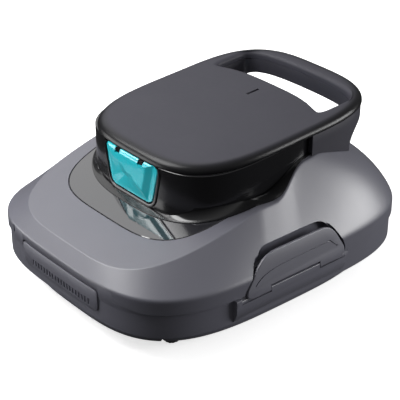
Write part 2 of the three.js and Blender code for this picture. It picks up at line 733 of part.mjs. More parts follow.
function upperShell() {
  const step = INLAY_THICKNESS + FIT;
  const outer = shellRings(0, 0, caseBottom);
  outer.push(ring({ ...inlayOutline(), z: capZ }));
  outer.push(ring({ ...inlayOutline(), z: (y) => capZ(y) - step }));
  outer.push(ring({ ...inlayInnerOutline(), z: (y) => capZ(y) - step }));
  outer.push(ring({ ...inlayInnerOutline(4), z: (y) => capZ(y) - step }));
  outer.push(ring({ ...inlayInnerOutline(9), z: WELL_FLOOR_Z }));
  const inner = shellRings(WALL, WALL, caseBottom);
  inner.push(ring({ ...inlayInnerOutline(2), z: (y) => capZ(y) - step - WALL }));
  inner.push(ring({ ...inlayInnerOutline(12), z: WELL_FLOOR_Z - WALL }));
  const skin = loft(outer).subtract(loft(inner));
  let shell = skin;
  for (const sign of [-1, 1]) {
    const backing = pocketBacking(sign).intersect(casingEnvelope(-0.01));
    shell = shell.add(backing).subtract(latchPocket(sign));
    const notch = box(-GRIP_BLOCK_WIDTH / 2 - 0.5, GRIP_BLOCK_WIDTH / 2 + 0.5,
      sign > 0 ? halfLength - 30 : -halfLength - 5, sign > 0 ? halfLength + 5 : -halfLength + 30,
      caseBottom - 5, GRIP_BLOCK_TOP + 0.5);
    shell = shell.subtract(notch);
  }
  shell = shell.subtract(rod('z', IMPELLER_RADIUS + 6.2, WELL_FLOOR_Z - 10, WELL_FLOOR_Z + 10,
    [0, MOTOR_Y], 32));
  return part('upper_shell', shell, greyPlastic);
}

function deckInlay() {
  const low = (y) => capZ(y) - INLAY_THICKNESS;
  const inlay = loft([
    ring({ ...inlayOutline(FIT), z: low }),
    ring({ ...inlayOutline(FIT), z: capZ }),
    ring({ ...inlayInnerOutline(), z: capZ }),
    ring({ ...inlayInnerOutline(), z: low }),
  ], true);
  return part('deck_inlay', inlay.intersect(box(-200, 200, -400, INLAY_END, 50, 200)), inlayPlastic);
}

function podFoot() {
  const bottom = (y) => capZ(y) - 4;
  const top = ring({ ...podOutline(), z: footTopZ });
  const foot = loft([
    ring({ ...footOutline(), z: bottom }),
    ring({ ...footOutline(), z: (y) => capZ(y) + 1.4 }),
    top,
    levelled(ring({ ...podOutline(WALL), z: 0 }), top),
    levelled(ring({ ...podOutline(WALL + 2), z: 0 }), top, -1),
    ring({ ...podOutline(WALL + 2), z: bottom }),
  ], true);
  return part('pod_foot', foot.subtract(casingEnvelope(FIT)), blackGloss);
}

function rearWallY(x) {
  const reach = (1 - Math.abs((2 * x) / POD_WIDTH) ** POD_SQUARENESS) ** (1 / POD_SQUARENESS);
  return 2.5 + (POD_BACK - 2.5) * reach;
}

function frontWindow(grow) {
  return trapezium([-FLAP_BOTTOM_WIDTH / 2 - grow, FLAP_BOTTOM_WIDTH / 2 + grow],
    [-FLAP_TOP_WIDTH / 2 - grow, FLAP_TOP_WIDTH / 2 + grow],
    FLAP_BOTTOM_Z - grow, FLAP_BOTTOM_Z + FLAP_HEIGHT + Math.min(grow, 1), 9);
}

function rearWindow(grow) {
  const half = REAR_FLAP_WIDTH / 2 + grow;
  return trapezium([-half, half], [-half, half], REAR_FLAP_BOTTOM_Z - grow,
    REAR_FLAP_BOTTOM_Z + REAR_FLAP_HEIGHT + Math.min(grow, 1), 4);
}

function podBody() {
  const top = (y) => rimZ(y) - COVER_EDGE - FIT;
  const footTop = ring({ ...podOutline(), z: footTopZ });
  let body = loft([
    levelled(footTop, footTop, FIT),
    ring({ ...podOutline(), z: top }),
    ring({ ...podOutline(WALL), z: top }),
    levelled(ring({ ...podOutline(WALL), z: 0 }), footTop, FIT),
  ], true);
  body = body.subtract(frontPlate(frontWindow(4), POD_FRONT - 5, POD_FRONT + 20));
  body = body.subtract(frontPlate(rearWindow(3), POD_BACK - 20, POD_BACK + 5));
  const buttonY = rearWallY(BUTTON_X);
  for (const x of [-BUTTON_X, BUTTON_X]) {
    body = body.subtract(rod('y', BUTTON_RADIUS + 0.6, buttonY - 12, buttonY + 8, [x, BUTTON_Z], 24));
  }
  return part('pod_body', body, blackGloss);
}

// A frame lining a window in the pod wall, with the gap for the flap cut out of it.
function bezel(name, windowOutline, grow, y0, y1) {
  const band = prism(podOutline(-0.3), 100, 190).subtract(prism(podOutline(7), 99, 191));
  const frame = frontPlate(windowOutline(grow - FIT), y0, y1)
    .subtract(frontPlate(windowOutline(0.8), y0 - 1, y1 + 1));
  return part(name, frame.intersect(band), blackGloss);
}

function flapBore(radius, y, z) {
  return rod('x', radius, -LUG_X - LUG_WIDTH / 2 - 4, LUG_X + LUG_WIDTH / 2 + 4, [y, z], 10);
}

function lugNotches(y0, y1, z) {
  return joined([-1, 1].map((side) => box(side * LUG_X - LUG_WIDTH / 2 - 0.6,
    side * LUG_X + LUG_WIDTH / 2 + 0.6, y0, y1, z - 3.6, z + 20)));
}

function frontFlap() {
  const y0 = POD_FRONT - 1.6;
  const y1 = y0 + FLAP_THICKNESS;
  const leaf = frontPlate(frontWindow(0), y0, y1)
    .subtract(lugNotches(y0 - 1, y1 + 1, frontPivotZ))
    .subtract(flapBore(STUB_RADIUS + 0.35, y0 + FLAP_THICKNESS / 2, frontPivotZ));
  return part('front_flap', leaf, tealPlastic);
}

function rearFlap() {
  const y1 = POD_BACK + 1.6;
  const y0 = y1 - FLAP_THICKNESS;
  const leaf = frontPlate(rearWindow(0), y0, y1)
    .subtract(lugNotches(y0 - 1, y1 + 1, rearPivotZ))
    .subtract(flapBore(STUB_RADIUS + 0.35, y0 + FLAP_THICKNESS / 2, rearPivotZ));
  return part('rear_flap', leaf, tealPlastic);
}

// Two lugs on a bar, each with a stub pin on both sides that the flap turns on.
function hingeLugs(name, y, z, inwards) {
  const near = y + inwards * 4;
  const far = y + inwards * 6;
  const bar = box(-LUG_X, LUG_X, Math.min(near, far), Math.max(near, far), z - 2.6, z + 2.2);
  const lugs = [-1, 1].map((side) => {
    const x = side * LUG_X;
    const depth = [y - 1.4, y + 1.4];
    if (inwards > 0) {
      depth[1] = y + 6;
    } else {
      depth[0] = y - 6;
    }
    const block = box(x - LUG_WIDTH / 2, x + LUG_WIDTH / 2, depth[0], depth[1], z - 2.6, z + 2.2);
    const reach = LUG_WIDTH / 2 + 3;
    return block.add(rod('x', STUB_RADIUS, x - reach, x + reach, [y, z], 10));
  });
  return part(name, joined([bar, ...lugs]), blackGloss);
}

function handHole(low, high) {
  return prism({
    width: HAND_HOLE_WIDTH, front: POD_BACK + HAND_HOLE_GAP, back: HAND_HOLE_BACK,
    centre: handHoleCentre, square: 3.5,
  }, low, high);
}

// The slot in the cover that the lamp's lens lies in, shrunk by a gap.
function lampSlot(gap, low, high) {
  const half = LAMP_SLOT_WIDTH / 2 - gap;
  return box(-half, half, LAMP_SLOT_Y[0] + gap, LAMP_SLOT_Y[1] - gap, low, high);
}

function topCover() {
  const low = (y) => rimZ(y) - COVER_EDGE;
  const crown = (share) => (y) => rimZ(y) + COVER_CROWN * share;
  let cover = loft([
    ring({ ...rimOutline(1), z: low }),
    ring({ ...rimOutline(), z: (y) => rimZ(y) - COVER_EDGE + 1.4 }),
    ring({ ...rimOutline(), z: (y) => rimZ(y) - 0.6 }),
    ring({ ...rimOutline(3), z: crown(0.35) }),
    ring({ ...rimOutline(12), z: crown(0.6) }),
    ring({ ...rimOutline(45), z: crown(0.9) }),
  ]);
  cover = cover.subtract(handHole(150, 200));
  cover = cover.subtract(lampSlot(0, lampFloor, lampFloor + 20));
  return part('top_cover', cover, softTouch);
}

function lampLens() {
  const low = lampFloor + FIT;
  return part('status_lamp', lampSlot(FIT, low, low + LAMP_DEPTH), lampPlastic);
}

// The lower half of the handle: two arms beside the pod and a bar behind the hand hole.
function handleLower() {
  const top = (y) => rimZ(y) - COVER_EDGE - FIT;
  const outline = rimOutline(0.8);
  let body = loft([ring({ ...outline, z: 118 }), ring({ ...outline, z: top })]);
  body = body.intersect(box(-300, 300, 62, 300, 0, 400));
  body = body.subtract(prism(podOutline(-FIT), 50, 250));
  body = body.subtract(prism(footOutline(-FIT - 1), 50, 152.4));
  body = body.subtract(handHole(50, 250));
  body = body.subtract(box(-68, 68, 60, handHoleCentre, 50, 250));
  const gap = [
    [ARM_BACK, 50], [ARM_BACK, 141], [ARM_BACK + 4, 149], [ARM_BACK + 13, 157],
    [ARM_BACK + 25, HANDLE_BOTTOM - 0.6], [HAND_HOLE_BACK + 2, HANDLE_BOTTOM],
    [HAND_HOLE_BACK + 14, HANDLE_BOTTOM + 3], [300, HANDLE_BOTTOM + 6], [300, 50],
  ];
  body = body.subtract(sidePlate(gap, -200, 200));
  body = body.subtract(casingEnvelope(FIT));
  return part('handle_lower', body, blackGloss);
}

function powerButton() {
  const y = rearWallY(BUTTON_X);
  return part('power_button', rod('y', BUTTON_RADIUS, y - 5, y + 1.4, [BUTTON_X, BUTTON_Z], 24), softTouch);
}

function chargeSocket() {
  const y = rearWallY(BUTTON_X);
  const cup = rod('y', BUTTON_RADIUS + 0.2, y - 11, y - 4.4, [-BUTTON_X, BUTTON_Z], 24);
  const pins = rod('y', 3, y - 9, y - 4, [-BUTTON_X, BUTTON_Z], 12);
  return part('charge_socket', cup.subtract(pins), blackGloss);
}

function chargePlug() {
  const y = rearWallY(BUTTON_X);
  return part('charge_plug', rod('y', BUTTON_RADIUS, y - 4, y + 1, [-BUTTON_X, BUTTON_Z], 24), blackRubber);
}

// ---------------------------------------------------------------- drive and electrics
function onMotorAxis(body) {
  return body.translate([0, MOTOR_Y, 0]);
}

function impellerDuct() {
  const bore = IMPELLER_RADIUS + 2;
  const low = IMPELLER_Z - 5;
  const flange = WELL_FLOOR_Z + FIT;
  const profile = [
    [bore, low], [bore + 2.4, low], [bore + 2.4, flange], [bore + 8, flange],
    [bore + 8, flange + 2], [bore, flange + 2],
  ];
  return part('impeller_duct', onMotorAxis(turned(profile, 32)), blackGloss);
}

function motorHousing() {
  const inner = MOTOR_RADIUS + FIT + 0.4;
  const low = WELL_FLOOR_Z + 2 + 2 * FIT + 3;
  const top = MOTOR_BOTTOM + MOTOR_LENGTH + 1;
  const cup = turned([[inner, low], [inner + 2.4, low], [inner + 2.4, top + 2], [0, top + 2],
    [0, top], [inner, top]], 28);
  const legs = [];
  for (let i = 0; i < 3; i += 1) {
    const geometry = new THREE.BoxGeometry(18, 5, 4);
    geometry.translate(inner + 9.8, 0, low - 1);
    geometry.rotateZ((2 * Math.PI * i) / 3 - Math.PI / 2);
    legs.push(solid(geometry));
  }
  return part('motor_housing', onMotorAxis(joined([cup, ...legs])), blackGloss);
}

function motorCan() {
  const can = rod('z', MOTOR_RADIUS, MOTOR_BOTTOM, MOTOR_BOTTOM + MOTOR_LENGTH, [0, MOTOR_Y], 28);
  return part('motor_can', can, steel);
}

function shaftSeal() {
  const low = MOTOR_BOTTOM - 3.4;
  const high = MOTOR_BOTTOM - FIT;
  const inner = SHAFT_RADIUS + FIT;
  const profile = [[inner, low], [MOTOR_RADIUS, low], [MOTOR_RADIUS, high], [inner, high]];
  return part('shaft_seal', onMotorAxis(turned(profile, 24)), blackRubber);
}

function motorShaft() {
  const shaft = rod('z', SHAFT_RADIUS, IMPELLER_Z - 3, MOTOR_BOTTOM - FIT, [0, MOTOR_Y], 16);
  return part('motor_shaft', shaft, steel);
}

function impeller() {
  const bore = SHAFT_RADIUS + FIT;
  const hub = turned([[bore, IMPELLER_Z], [9, IMPELLER_Z], [7, IMPELLER_Z + IMPELLER_HEIGHT],
    [bore, IMPELLER_Z + IMPELLER_HEIGHT]], 20);
  const blades = [];
  for (let i = 0; i < 5; i += 1) {
    const geometry = new THREE.BoxGeometry(IMPELLER_RADIUS - 7, 1.8, IMPELLER_HEIGHT - 3);
    geometry.rotateX(0.6);
    geometry.translate(7 + (IMPELLER_RADIUS - 7) / 2, 0, IMPELLER_Z + IMPELLER_HEIGHT / 2);
    geometry.rotateZ((2 * Math.PI * i) / 5);
    blades.push(solid(geometry));
  }
  return part('impeller', onMotorAxis(joined([hub, ...blades])), tealPlastic);
}

function batteryPack() {
  const low = WELL_FLOOR_Z + FIT;
  const first = MOTOR_Y + IMPELLER_RADIUS + 19; // clear of the impeller duct's flange
  const cells = [0, 18.5, 37].map((step) => (
    rod('x', 9.2, -34, 34, [first + step, low + 9.4], 16)
  ));
  cells.push(box(-30, 30, first, first + 37, low + 4, low + 14));
  return part('battery_pack', joined(cells), cellWrap);
}

function controlBoard() {
  const low = WELL_FLOOR_Z + 22;
  const chips = [box(-20, -8, 32, 46, low, low + 4), box(4, 22, 50, 60, low, low + 5)];
  return part('control_board', joined([box(-36, 36, 24, 70, low, low + 1.6), ...chips]), board);
}

function floatBlock(name, y0, y1, z1) {
  return part(name, box(-92, 92, y0, y1, SPLIT_Z + 6, z1), foam);
}

// ---------------------------------------------------------------- latches
function latch(name, sign) {
  const foot = LATCH_PIVOT_Z - 1.4;
  const outline = trapezium(LATCH_BOTTOM, LATCH_TOP, foot, foot + LATCH_HEIGHT, 9);
  const inner = latchPivotX - LATCH_THICKNESS / 2;
  let plate = sidePlate(outline, inner, inner + LATCH_THICKNESS);
  const slot = box(inner - 5, inner + 10, LATCH_SLOT[0], LATCH_SLOT[1], foot - 5, LATCH_PIVOT_Z + 4);
  const bore = rod('y', LATCH_PIN_RADIUS + 0.35, LATCH_SLOT[0] - 7, LATCH_SLOT[1] + 7,
    [latchPivotX, LATCH_PIVOT_Z]);
  plate = plate.subtract(slot);
  const pivot = new THREE.Matrix4().makeTranslation(latchPivotX, 0, LATCH_PIVOT_Z);
  const lean = new THREE.Matrix4().makeRotationY(THREE.MathUtils.degToRad(-LATCH_LEAN));
  const back = new THREE.Matrix4().makeTranslation(-latchPivotX, 0, -LATCH_PIVOT_Z);
  const geometry = geometryOf(plate);
  geometry.applyMatrix4(pivot.multiply(lean).multiply(back));
  plate = solid(geometry).subtract(bore);
  plate = plate.subtract(box(0, halfWidth - BASE_INSET + FIT, -300, 300, 0, trayTop + 1));
  return part(name, mirrored(plate, sign), greyPlastic);
}

function latchPin(name, sign) {
  const pin = rod('y', LATCH_PIN_RADIUS, LATCH_SLOT[0] - 6, LATCH_SLOT[1] + 6,
    [latchPivotX, LATCH_PIVOT_Z], 12);
  return part(name, mirrored(pin, sign), steel);
}

// ---------------------------------------------------------------- the whole object
const cleaner = new THREE.Group();
cleaner.name = 'pool_cleaner';
cleaner.add(baseTray());
cleaner.add(gripPad('front_grip_pad', -1), gripPad('rear_grip_pad', 1));
cleaner.add(rimSeal(), suctionPlate(), suctionDuct(), intakeFlap(), intakeFlapPin());
cleaner.add(sweeper('front_sweeper', -1), sweeper('rear_sweeper', 1));
cleaner.add(axle('front_axle', -1), axle('rear_axle', 1));
for (const [end, sy] of [['front', -1], ['rear', 1]]) {
  for (const [side, sx] of [['left', -1], ['right', 1]]) {
    cleaner.add(wheelHub(`${end}_${side}_wheel`, sx, sy));
    cleaner.add(wheelTyre(`${end}_${side}_tyre`, sx, sy));
    cleaner.add(plateScrew(`${end}_${side}_screw`, sx, sy));
  }
}
cleaner.add(filterBasket(), filterMesh(), basketLid());
cleaner.add(upperShell(), deckInlay(), podFoot(), podBody(), topCover(), handleLower(), lampLens());
cleaner.add(bezel('front_bezel', frontWindow, 4, POD_FRONT - 5, POD_FRONT + 20));
cleaner.add(bezel('rear_bezel', rearWindow, 3, POD_BACK - 20, POD_BACK + 5));
cleaner.add(frontFlap(), rearFlap());
const frontPinY = POD_FRONT - 1.6 + FLAP_THICKNESS / 2;
const rearPinY = POD_BACK + 1.6 - FLAP_THICKNESS / 2;
cleaner.add(hingeLugs('front_flap_lugs', frontPinY, frontPivotZ, 1));
cleaner.add(hingeLugs('rear_flap_lugs', rearPinY, rearPivotZ, -1));
cleaner.add(powerButton(), chargeSocket(), chargePlug());
cleaner.add(impellerDuct(), motorHousing(), motorCan(), shaftSeal(), motorShaft(), impeller());
cleaner.add(batteryPack(), controlBoard());
cleaner.add(floatBlock('front_float', -halfLength + 34, -118, 82));
cleaner.add(floatBlock('rear_float', 116, halfLength - 40, 96));
cleaner.add(latch('left_latch', -1), latch('right_latch', 1));
cleaner.add(latchPin('left_latch_pin', -1), latchPin('right_latch_pin', 1));

export default cleaner;
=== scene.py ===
"""Visual model of a cordless pool-floor cleaner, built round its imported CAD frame.

Surfaces are grids of points in millimetres, worked out with numpy: rings round an outline, lofted
into a closed skin, or a flat outline carried along an axis. The front (teal outlet flap) faces -Y.
"""

import bpy
import numpy as np
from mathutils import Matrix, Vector


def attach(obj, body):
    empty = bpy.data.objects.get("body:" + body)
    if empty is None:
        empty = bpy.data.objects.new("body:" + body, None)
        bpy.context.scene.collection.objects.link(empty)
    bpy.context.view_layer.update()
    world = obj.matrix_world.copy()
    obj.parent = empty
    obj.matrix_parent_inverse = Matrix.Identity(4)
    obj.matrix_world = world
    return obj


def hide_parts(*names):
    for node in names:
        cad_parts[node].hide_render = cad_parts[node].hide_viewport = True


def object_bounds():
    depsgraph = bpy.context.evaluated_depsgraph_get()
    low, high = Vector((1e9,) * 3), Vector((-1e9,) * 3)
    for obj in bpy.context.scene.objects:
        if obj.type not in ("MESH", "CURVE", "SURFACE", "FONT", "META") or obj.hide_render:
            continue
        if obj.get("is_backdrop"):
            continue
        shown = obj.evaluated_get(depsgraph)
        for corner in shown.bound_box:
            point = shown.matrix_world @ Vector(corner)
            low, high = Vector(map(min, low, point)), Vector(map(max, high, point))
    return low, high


bl_info = {
    "name": "Pool cleaner builder",
    "version": (1, 0, 0),
    "blender": (4, 5, 0),
    "location": "View3D > Sidebar > Pool cleaner",
    "description": "Builds a cordless pool-floor cleaner round its working frame",
    "category": "Object",
}

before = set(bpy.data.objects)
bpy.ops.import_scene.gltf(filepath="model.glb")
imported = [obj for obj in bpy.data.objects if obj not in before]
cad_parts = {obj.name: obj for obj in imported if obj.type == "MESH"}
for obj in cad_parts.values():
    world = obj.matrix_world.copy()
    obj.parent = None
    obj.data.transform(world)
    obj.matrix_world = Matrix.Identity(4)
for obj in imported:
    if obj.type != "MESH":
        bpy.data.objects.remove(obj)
cad_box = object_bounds()

MM = 0.001
TAU = 2 * np.pi
RING_POINTS = 288

# ------------------------------------------------------------------ outlines of the cleaner (mm)
HALF_WIDTH = 162.0
HALF_LENGTH = 195.4
CASE_SQUARENESS = 3.83
PARTING_Z = 59.0
SKIRT_TOP = 76.0
WALL = 3.0
BASE_INSET = 2.0
POD_WIDTH = 213.2
POD_FRONT = -97.0
POD_BACK = 102.0
POD_CENTRE = 2.5
POD_SQUARENESS = 3.3
RIM_WIDTH = 214.8
RIM_LENGTH = 276.0
RIM_CENTRE = 40.1
RIM_Z = 177.25
RIM_TILT = 0.062
RIM_SQUARENESS = 3.36
WELL_FLOOR_Z = 122.0
MOTOR_Y = -15.0
MOTOR_HOLE = 30.2
HOLE_CENTRE = 131.5
HANDLE_BOTTOM = 163.0
ARM_BACK = 123.0
HOLE_BACK = 157.0
HOLE_HALF_WIDTH = 85.0
FLAP_BOTTOM_Z = 117.0
FLAP_HEIGHT = 46.4
FLAP_HALVES = (34.0, 44.5)
REAR_FLAP_BOTTOM_Z = 154.0
REAR_FLAP_HEIGHT = 20.0
REAR_FLAP_HALVES = (28.0, 28.0)
LUG_X = 19.0
BUTTON_X, BUTTON_Z, BUTTON_RADIUS = 48.0, 164.0, 7.0
PIVOT_X = 162.0
PIVOT_Z = 55.5
LATCH_LEAN = np.radians(9.0)
LATCH_BOTTOM = (-84.0, 67.0)
LATCH_TOP = (-51.0, 43.0)
LATCH_HEIGHT = 42.0
LATCH_SLOT = (-45.6, 24.3)
POCKET_DEPTH = 12.0
POCKET_GAP = 1.8
FINGER_DEPTH = 20.0
GRIP_HALF, GRIP_RUN = 87.0, 120.0
GRIP_TOP, GRIP_SHOULDER = 75.0, 66.0
PAD_HALF, PAD_LOW, PAD_HIGH, PAD_DEPTH = 66.0, 42.5, 66.0, 3.0
HINGE_PANEL = (-92.0, 62.0)
MOUTH = (-72.0, 72.0, -22.0, 16.0)
MOUTH_PLATE = (-92.0, 92.0, -36.0, 36.0)
WHEEL_X, WHEEL_Y, WHEEL_RADIUS = 104.0, 128.0, 18.0
SHARP_ANGLE = 32.0


def smooth(t):
    """Smoothstep: 3t^2 - 2t^3 on t held between 0 and 1."""
    t = np.clip(t, 0, 1)
    return t * t * (3 - 2 * t)


def mix(a, b, t):
    """The point a share t of the way from a to b."""
    return a + (b - a) * t


def bezier(a, b, c, count):
    """Rows on the quadratic curve (1-t)^2 a + 2t(1-t) b + t^2 c, both ends included."""
    return [(1 - t) ** 2 * a + 2 * t * (1 - t) * b + t * t * c for t in np.linspace(0, 1, count)]


def value_at(rule, y):
    """A plain number as it is, or a rule of y worked out at y."""
    return rule(y) if callable(rule) else rule


def ring_angles():
    """Angles of a ring's points, half a step off the axes."""
    return TAU * (np.arange(RING_POINTS) + 0.5) / RING_POINTS


def ring_reach(square):
    """Cosine, sine and superellipse reach (|cos|^n + |sin|^n)^(-1/n) at a ring's angles. The
    squareness n is one number, or a rule of the sine."""
    c, s = np.cos(ring_angles()), np.sin(ring_angles())
    square = value_at(square, s)
    return c, s, (np.abs(c) ** square + np.abs(s) ** square) ** (-1 / square)


def ring(width, front, back, square, z, centre=0.0, shrink=0.0):
    """Superellipse |x/a|^n + |y/b|^n = 1 by polar angle, with its own reach in front and behind.
    Width and z may be rules of y."""
    c, s, reach = ring_reach(square)
    length = np.where(s < 0, centre - front, back - centre) - shrink
    y = centre + s * reach * length
    x = c * reach * (value_at(width, y) / 2 - shrink)
    return np.stack([x, y, value_at(z, y) + 0 * y], axis=1)


def case_ring(z, shrink=0.0):
    """Outline of the casing at its skirt."""
    return ring(2 * HALF_WIDTH, -HALF_LENGTH, HALF_LENGTH, CASE_SQUARENESS, z, shrink=shrink)


def deck_z(y):
    """Deck 110 mm high at y -100 and rising 0.238 per mm to 127, then a smooth 22.5 mm step."""
    deck = np.minimum(110 + 0.238 * (y + 100), 127.0)
    return deck + 22.5 * smooth((y + 10) / 60)


def deck_width(y):
    """Deck's width: 254.6 mm in front, narrowing smoothly to 6 mm over the pod's behind."""
    return mix(254.6, POD_WIDTH + 6, smooth((y + 10) / 60))


def deck_ring(z, shrink=0.0):
    """Outline of the deck's edge."""
    return ring(deck_width, -183.0, 108.0, 3.92, z, centre=24.0, shrink=shrink)


def panel_ring(z, shrink=0.0):
    """Outline of the deck panel: 218.8 mm wide in front and 13 mm less behind."""
    return ring(lambda y: 218.8 - 13 * smooth(y / 45), -132.5, 100.0, 4.0, z, centre=7.2,
                shrink=shrink)


def well_ring(z, shrink=0.0):
    """Outline of the opening under the pod."""
    return ring(POD_WIDTH - 24, POD_FRONT + 8, POD_BACK - 10, POD_SQUARENESS, z, shrink=shrink)


def pod_ring(z, shrink=0.0):
    """Outline of the pod's wall."""
    return ring(POD_WIDTH, POD_FRONT, POD_BACK, POD_SQUARENESS, z, centre=POD_CENTRE, shrink=shrink)


def foot_ring(z, shrink=0.0):
    """Outline of the pod's foot, kept 1.5 mm inside the deck on each side."""
    return ring(lambda y: np.minimum(246.0, deck_width(y) - 3), -105.4, 106.0, 2.8, z, centre=24.0,
                shrink=shrink)


def rim_z(y):
    """Height of the cover's rim, a plane that rises to the rear by its tilt."""
    return RIM_Z + RIM_TILT * (y - RIM_CENTRE)


def rim_ring(z, shrink=0.0):
    """Outline of the cover's rim, up to 3% wider behind."""
    return ring(lambda y: RIM_WIDTH * (1 + 0.03 * smooth((y - RIM_CENTRE) / 120)),
                RIM_CENTRE - RIM_LENGTH / 2, RIM_CENTRE + RIM_LENGTH / 2, RIM_SQUARENESS, z,
                centre=RIM_CENTRE, shrink=shrink)


def wall_top_z(y):
    """Upper edge of the pod's wall and of the handle's underside: 5.6 mm below the rim."""
    return rim_z(y) - 5.6


def wall_foot_z(y):
    """Lower edge of the pod's wall: 11 mm over the deck in front, sinking to it, then the step."""
    rise = 2 + 9 * smooth((y + 94) / 14)
    low = np.minimum(deck_z(y) + rise * (1 - smooth((y + 60) / 50)), 129.5)
    return np.maximum(low + 18.5 * smooth((y - 8) / 42), deck_z(y) + 1.6)


def pod_face_y(x, end=-1):
    """Y of the pod's wall at x: centre plus or minus its reach times (1 - |x/a|^n)^(1/n)."""
    reach = (1 - np.abs(x / (POD_WIDTH / 2)) ** POD_SQUARENESS) ** (1 / POD_SQUARENESS)
    length = POD_CENTRE - POD_FRONT if end < 0 else POD_BACK - POD_CENTRE
    return POD_CENTRE + end * length * reach


# ------------------------------------------------------------------ mesh helpers
def mesh_object(name, points, faces, sharp=SHARP_ANGLE):
    """A mesh piece from points in mm; edges sharper than the angle shade as edges."""
    mesh = bpy.data.meshes.new(name)
    mesh.from_pydata((np.asarray(points) * MM).tolist(), [], faces)
    mesh.validate()
    obj = bpy.data.objects.new(name, mesh)
    bpy.context.scene.collection.objects.link(obj)
    crisp(obj, sharp)
    return obj


def crisp(obj, sharp=SHARP_ANGLE):
    """Smooth shading, broken at edges sharper than the angle."""
    obj.data.shade_smooth()
    obj.data.set_sharp_from_angle(angle=np.radians(sharp))


def volume_of(points, quads):
    """Six times the volume, the sum of a.(b x c) + a.(c x d): below 0 when turned inside out."""
    a, b, c, d = (points[quads[:, k]] for k in range(4))
    first = np.einsum("ij,ij->i", a, np.cross(b, c)).sum()
    return first + np.einsum("ij,ij->i", a, np.cross(c, d)).sum()


def loft(name, rows, loop=False, sharp=SHARP_ANGLE):
    """A skin through rows of equally many points. Each row closes on itself. With loop the last
    row joins the first; otherwise each end is a flat fan about its middle."""
    rows = np.stack(rows)
    count, width = rows.shape[:2]
    k = np.arange(count if loop else count - 1)[:, None]
    i = np.arange(width)[None, :]
    j = (i + 1) % width
    up = (k + 1) % count
    quads = np.stack([k * width + i, k * width + j, up * width + j, up * width + i], axis=-1)
    quads = quads.reshape(-1, 4)
    points = rows.reshape(-1, 3)
    flip = volume_of(points - points.mean(0), quads) < 0
    faces = (quads[:, ::-1] if flip else quads).tolist()
    if not loop:
        for row, turn in ((0, True), (count - 1, False)):
            tip = len(points)
            points = np.vstack([points, rows[row].mean(0)])
            edge = np.stack([row * width + i[0], row * width + j[0]], axis=1)
            if turn != flip:
                edge = edge[:, ::-1]
            faces += np.column_stack([edge, np.full(width, tip)]).tolist()
    return mesh_object(name, points, faces, sharp)


def plate(name, outline, axis, low, high):
    """A flat outline of (a, b) points carried along an axis from low to high. Along x the pair is
    (y, z), along y it is (x, z) and along z it is (x, y)."""
    outline = np.asarray(outline, float)
    order = {"x": (2, 0, 1), "y": (0, 2, 1), "z": (0, 1, 2)}[axis]
    rows = []
    for level in (low, high):
        column = np.column_stack([outline, np.full(len(outline), level)])
        rows.append(column[:, order])
    count = len(outline)
    points = np.vstack(rows)
    i = np.arange(count)
    j = (i + 1) % count
    sides = np.stack([i, j, count + j, count + i], axis=1).tolist()
    obj = mesh_object(name, points, sides + [i[::-1].tolist(), (count + i).tolist()])
    area = np.sum(outline[i, 0] * outline[j, 1] - outline[j, 0] * outline[i, 1])
    if (area < 0) != (axis == "y"):
        obj.data.flip_normals()
    return obj


def block(x0, x1, y0, y1, z0, z1):
    """A box between two corners, used to cut or add."""
    return plate("block", [(x0, y0), (x1, y0), (x1, y1), (x0, y1)], "z", z0, z1)


def rod(axis, radius, low, high, centre):
    """A round bar along an axis: centre + radius (cos a, sin a)."""
    angle = TAU * np.arange(48) / 48
    outline = np.column_stack([centre[0] + radius * np.cos(angle),
                               centre[1] + radius * np.sin(angle)])
    return plate("rod", outline, axis, low, high)


def carve(target, operation, *tools):
    """Adds, cuts or keeps with closed tool solids, which are used up."""
    for tool in tools:
        step = target.modifiers.new("carve", "BOOLEAN")
        step.operation = operation
        step.solver = "MANIFOLD"
        step.object = tool
    settle(target)
    for tool in tools:
        bpy.data.objects.remove(tool)
    crisp(target)
    return target


def settle(obj):
    """Makes what the modifiers give the object's own mesh."""
    bpy.context.view_layer.update()
    graph = bpy.context.evaluated_depsgraph_get()
    mesh = bpy.data.meshes.new_from_object(obj.evaluated_get(graph))
    obj.modifiers.clear()
    obj.data = mesh


def mirrored(obj, side):
    """The piece itself for side 1, or turned over in X for side -1."""
    if side < 0:
        flat = np.empty(len(obj.data.vertices) * 3, np.float32)
        obj.data.vertices.foreach_get("co", flat)
        flat[0::3] *= -1
        obj.data.vertices.foreach_set("co", flat)
        obj.data.flip_normals()
    return obj


def rounded(corners, radius, steps=8):
    """Outline with each corner (a, b) replaced by the curve a(1-t)^2 + bt^2 over the radius."""
    corners = np.asarray(corners, float)
    before = np.roll(corners, 1, axis=0) - corners
    after = np.roll(corners, -1, axis=0) - corners
    before /= np.linalg.norm(before, axis=1)[:, None]
    after /= np.linalg.norm(after, axis=1)[:, None]
    t = np.linspace(0, 1, steps)[None, :, None]
    reach = np.broadcast_to(np.asarray(radius, float), (len(corners),))[:, None, None]
    curve = corners[:, None] + reach * (before[:, None] * (1 - t) ** 2 + after[:, None] * t ** 2)
    return curve.reshape(-1, 2)


def span(end, near, far):
    """Levels near and far on one side of the middle, the lower first."""
    return sorted((end * near, end * far))


def trapezium(low, high, z0, z1, radius):
    """A rounded outline from the pair low at z0 to the pair high at z1."""
    return rounded([(low[0], z0), (low[1], z0), (high[1], z1), (high[0], z1)], radius)


def soften(obj, width, segments=2):
    """A small round along every edge sharper than 40 degrees."""
    step = obj.modifiers.new("soften", "BEVEL")
    step.width = width * MM
    step.segments = segments
    step.limit_method = "ANGLE"
    step.angle_limit = np.radians(40.0)
    step.use_clamp_overlap = True
    step.harden_normals = False
    settle(obj)
    crisp(obj, 50.0)
    return obj


def coat(obj, finish):
    """Gives a piece one finish, by name, in place of what it had."""
    obj.data.materials.clear()
    obj.data.materials.append(bpy.data.materials[finish])


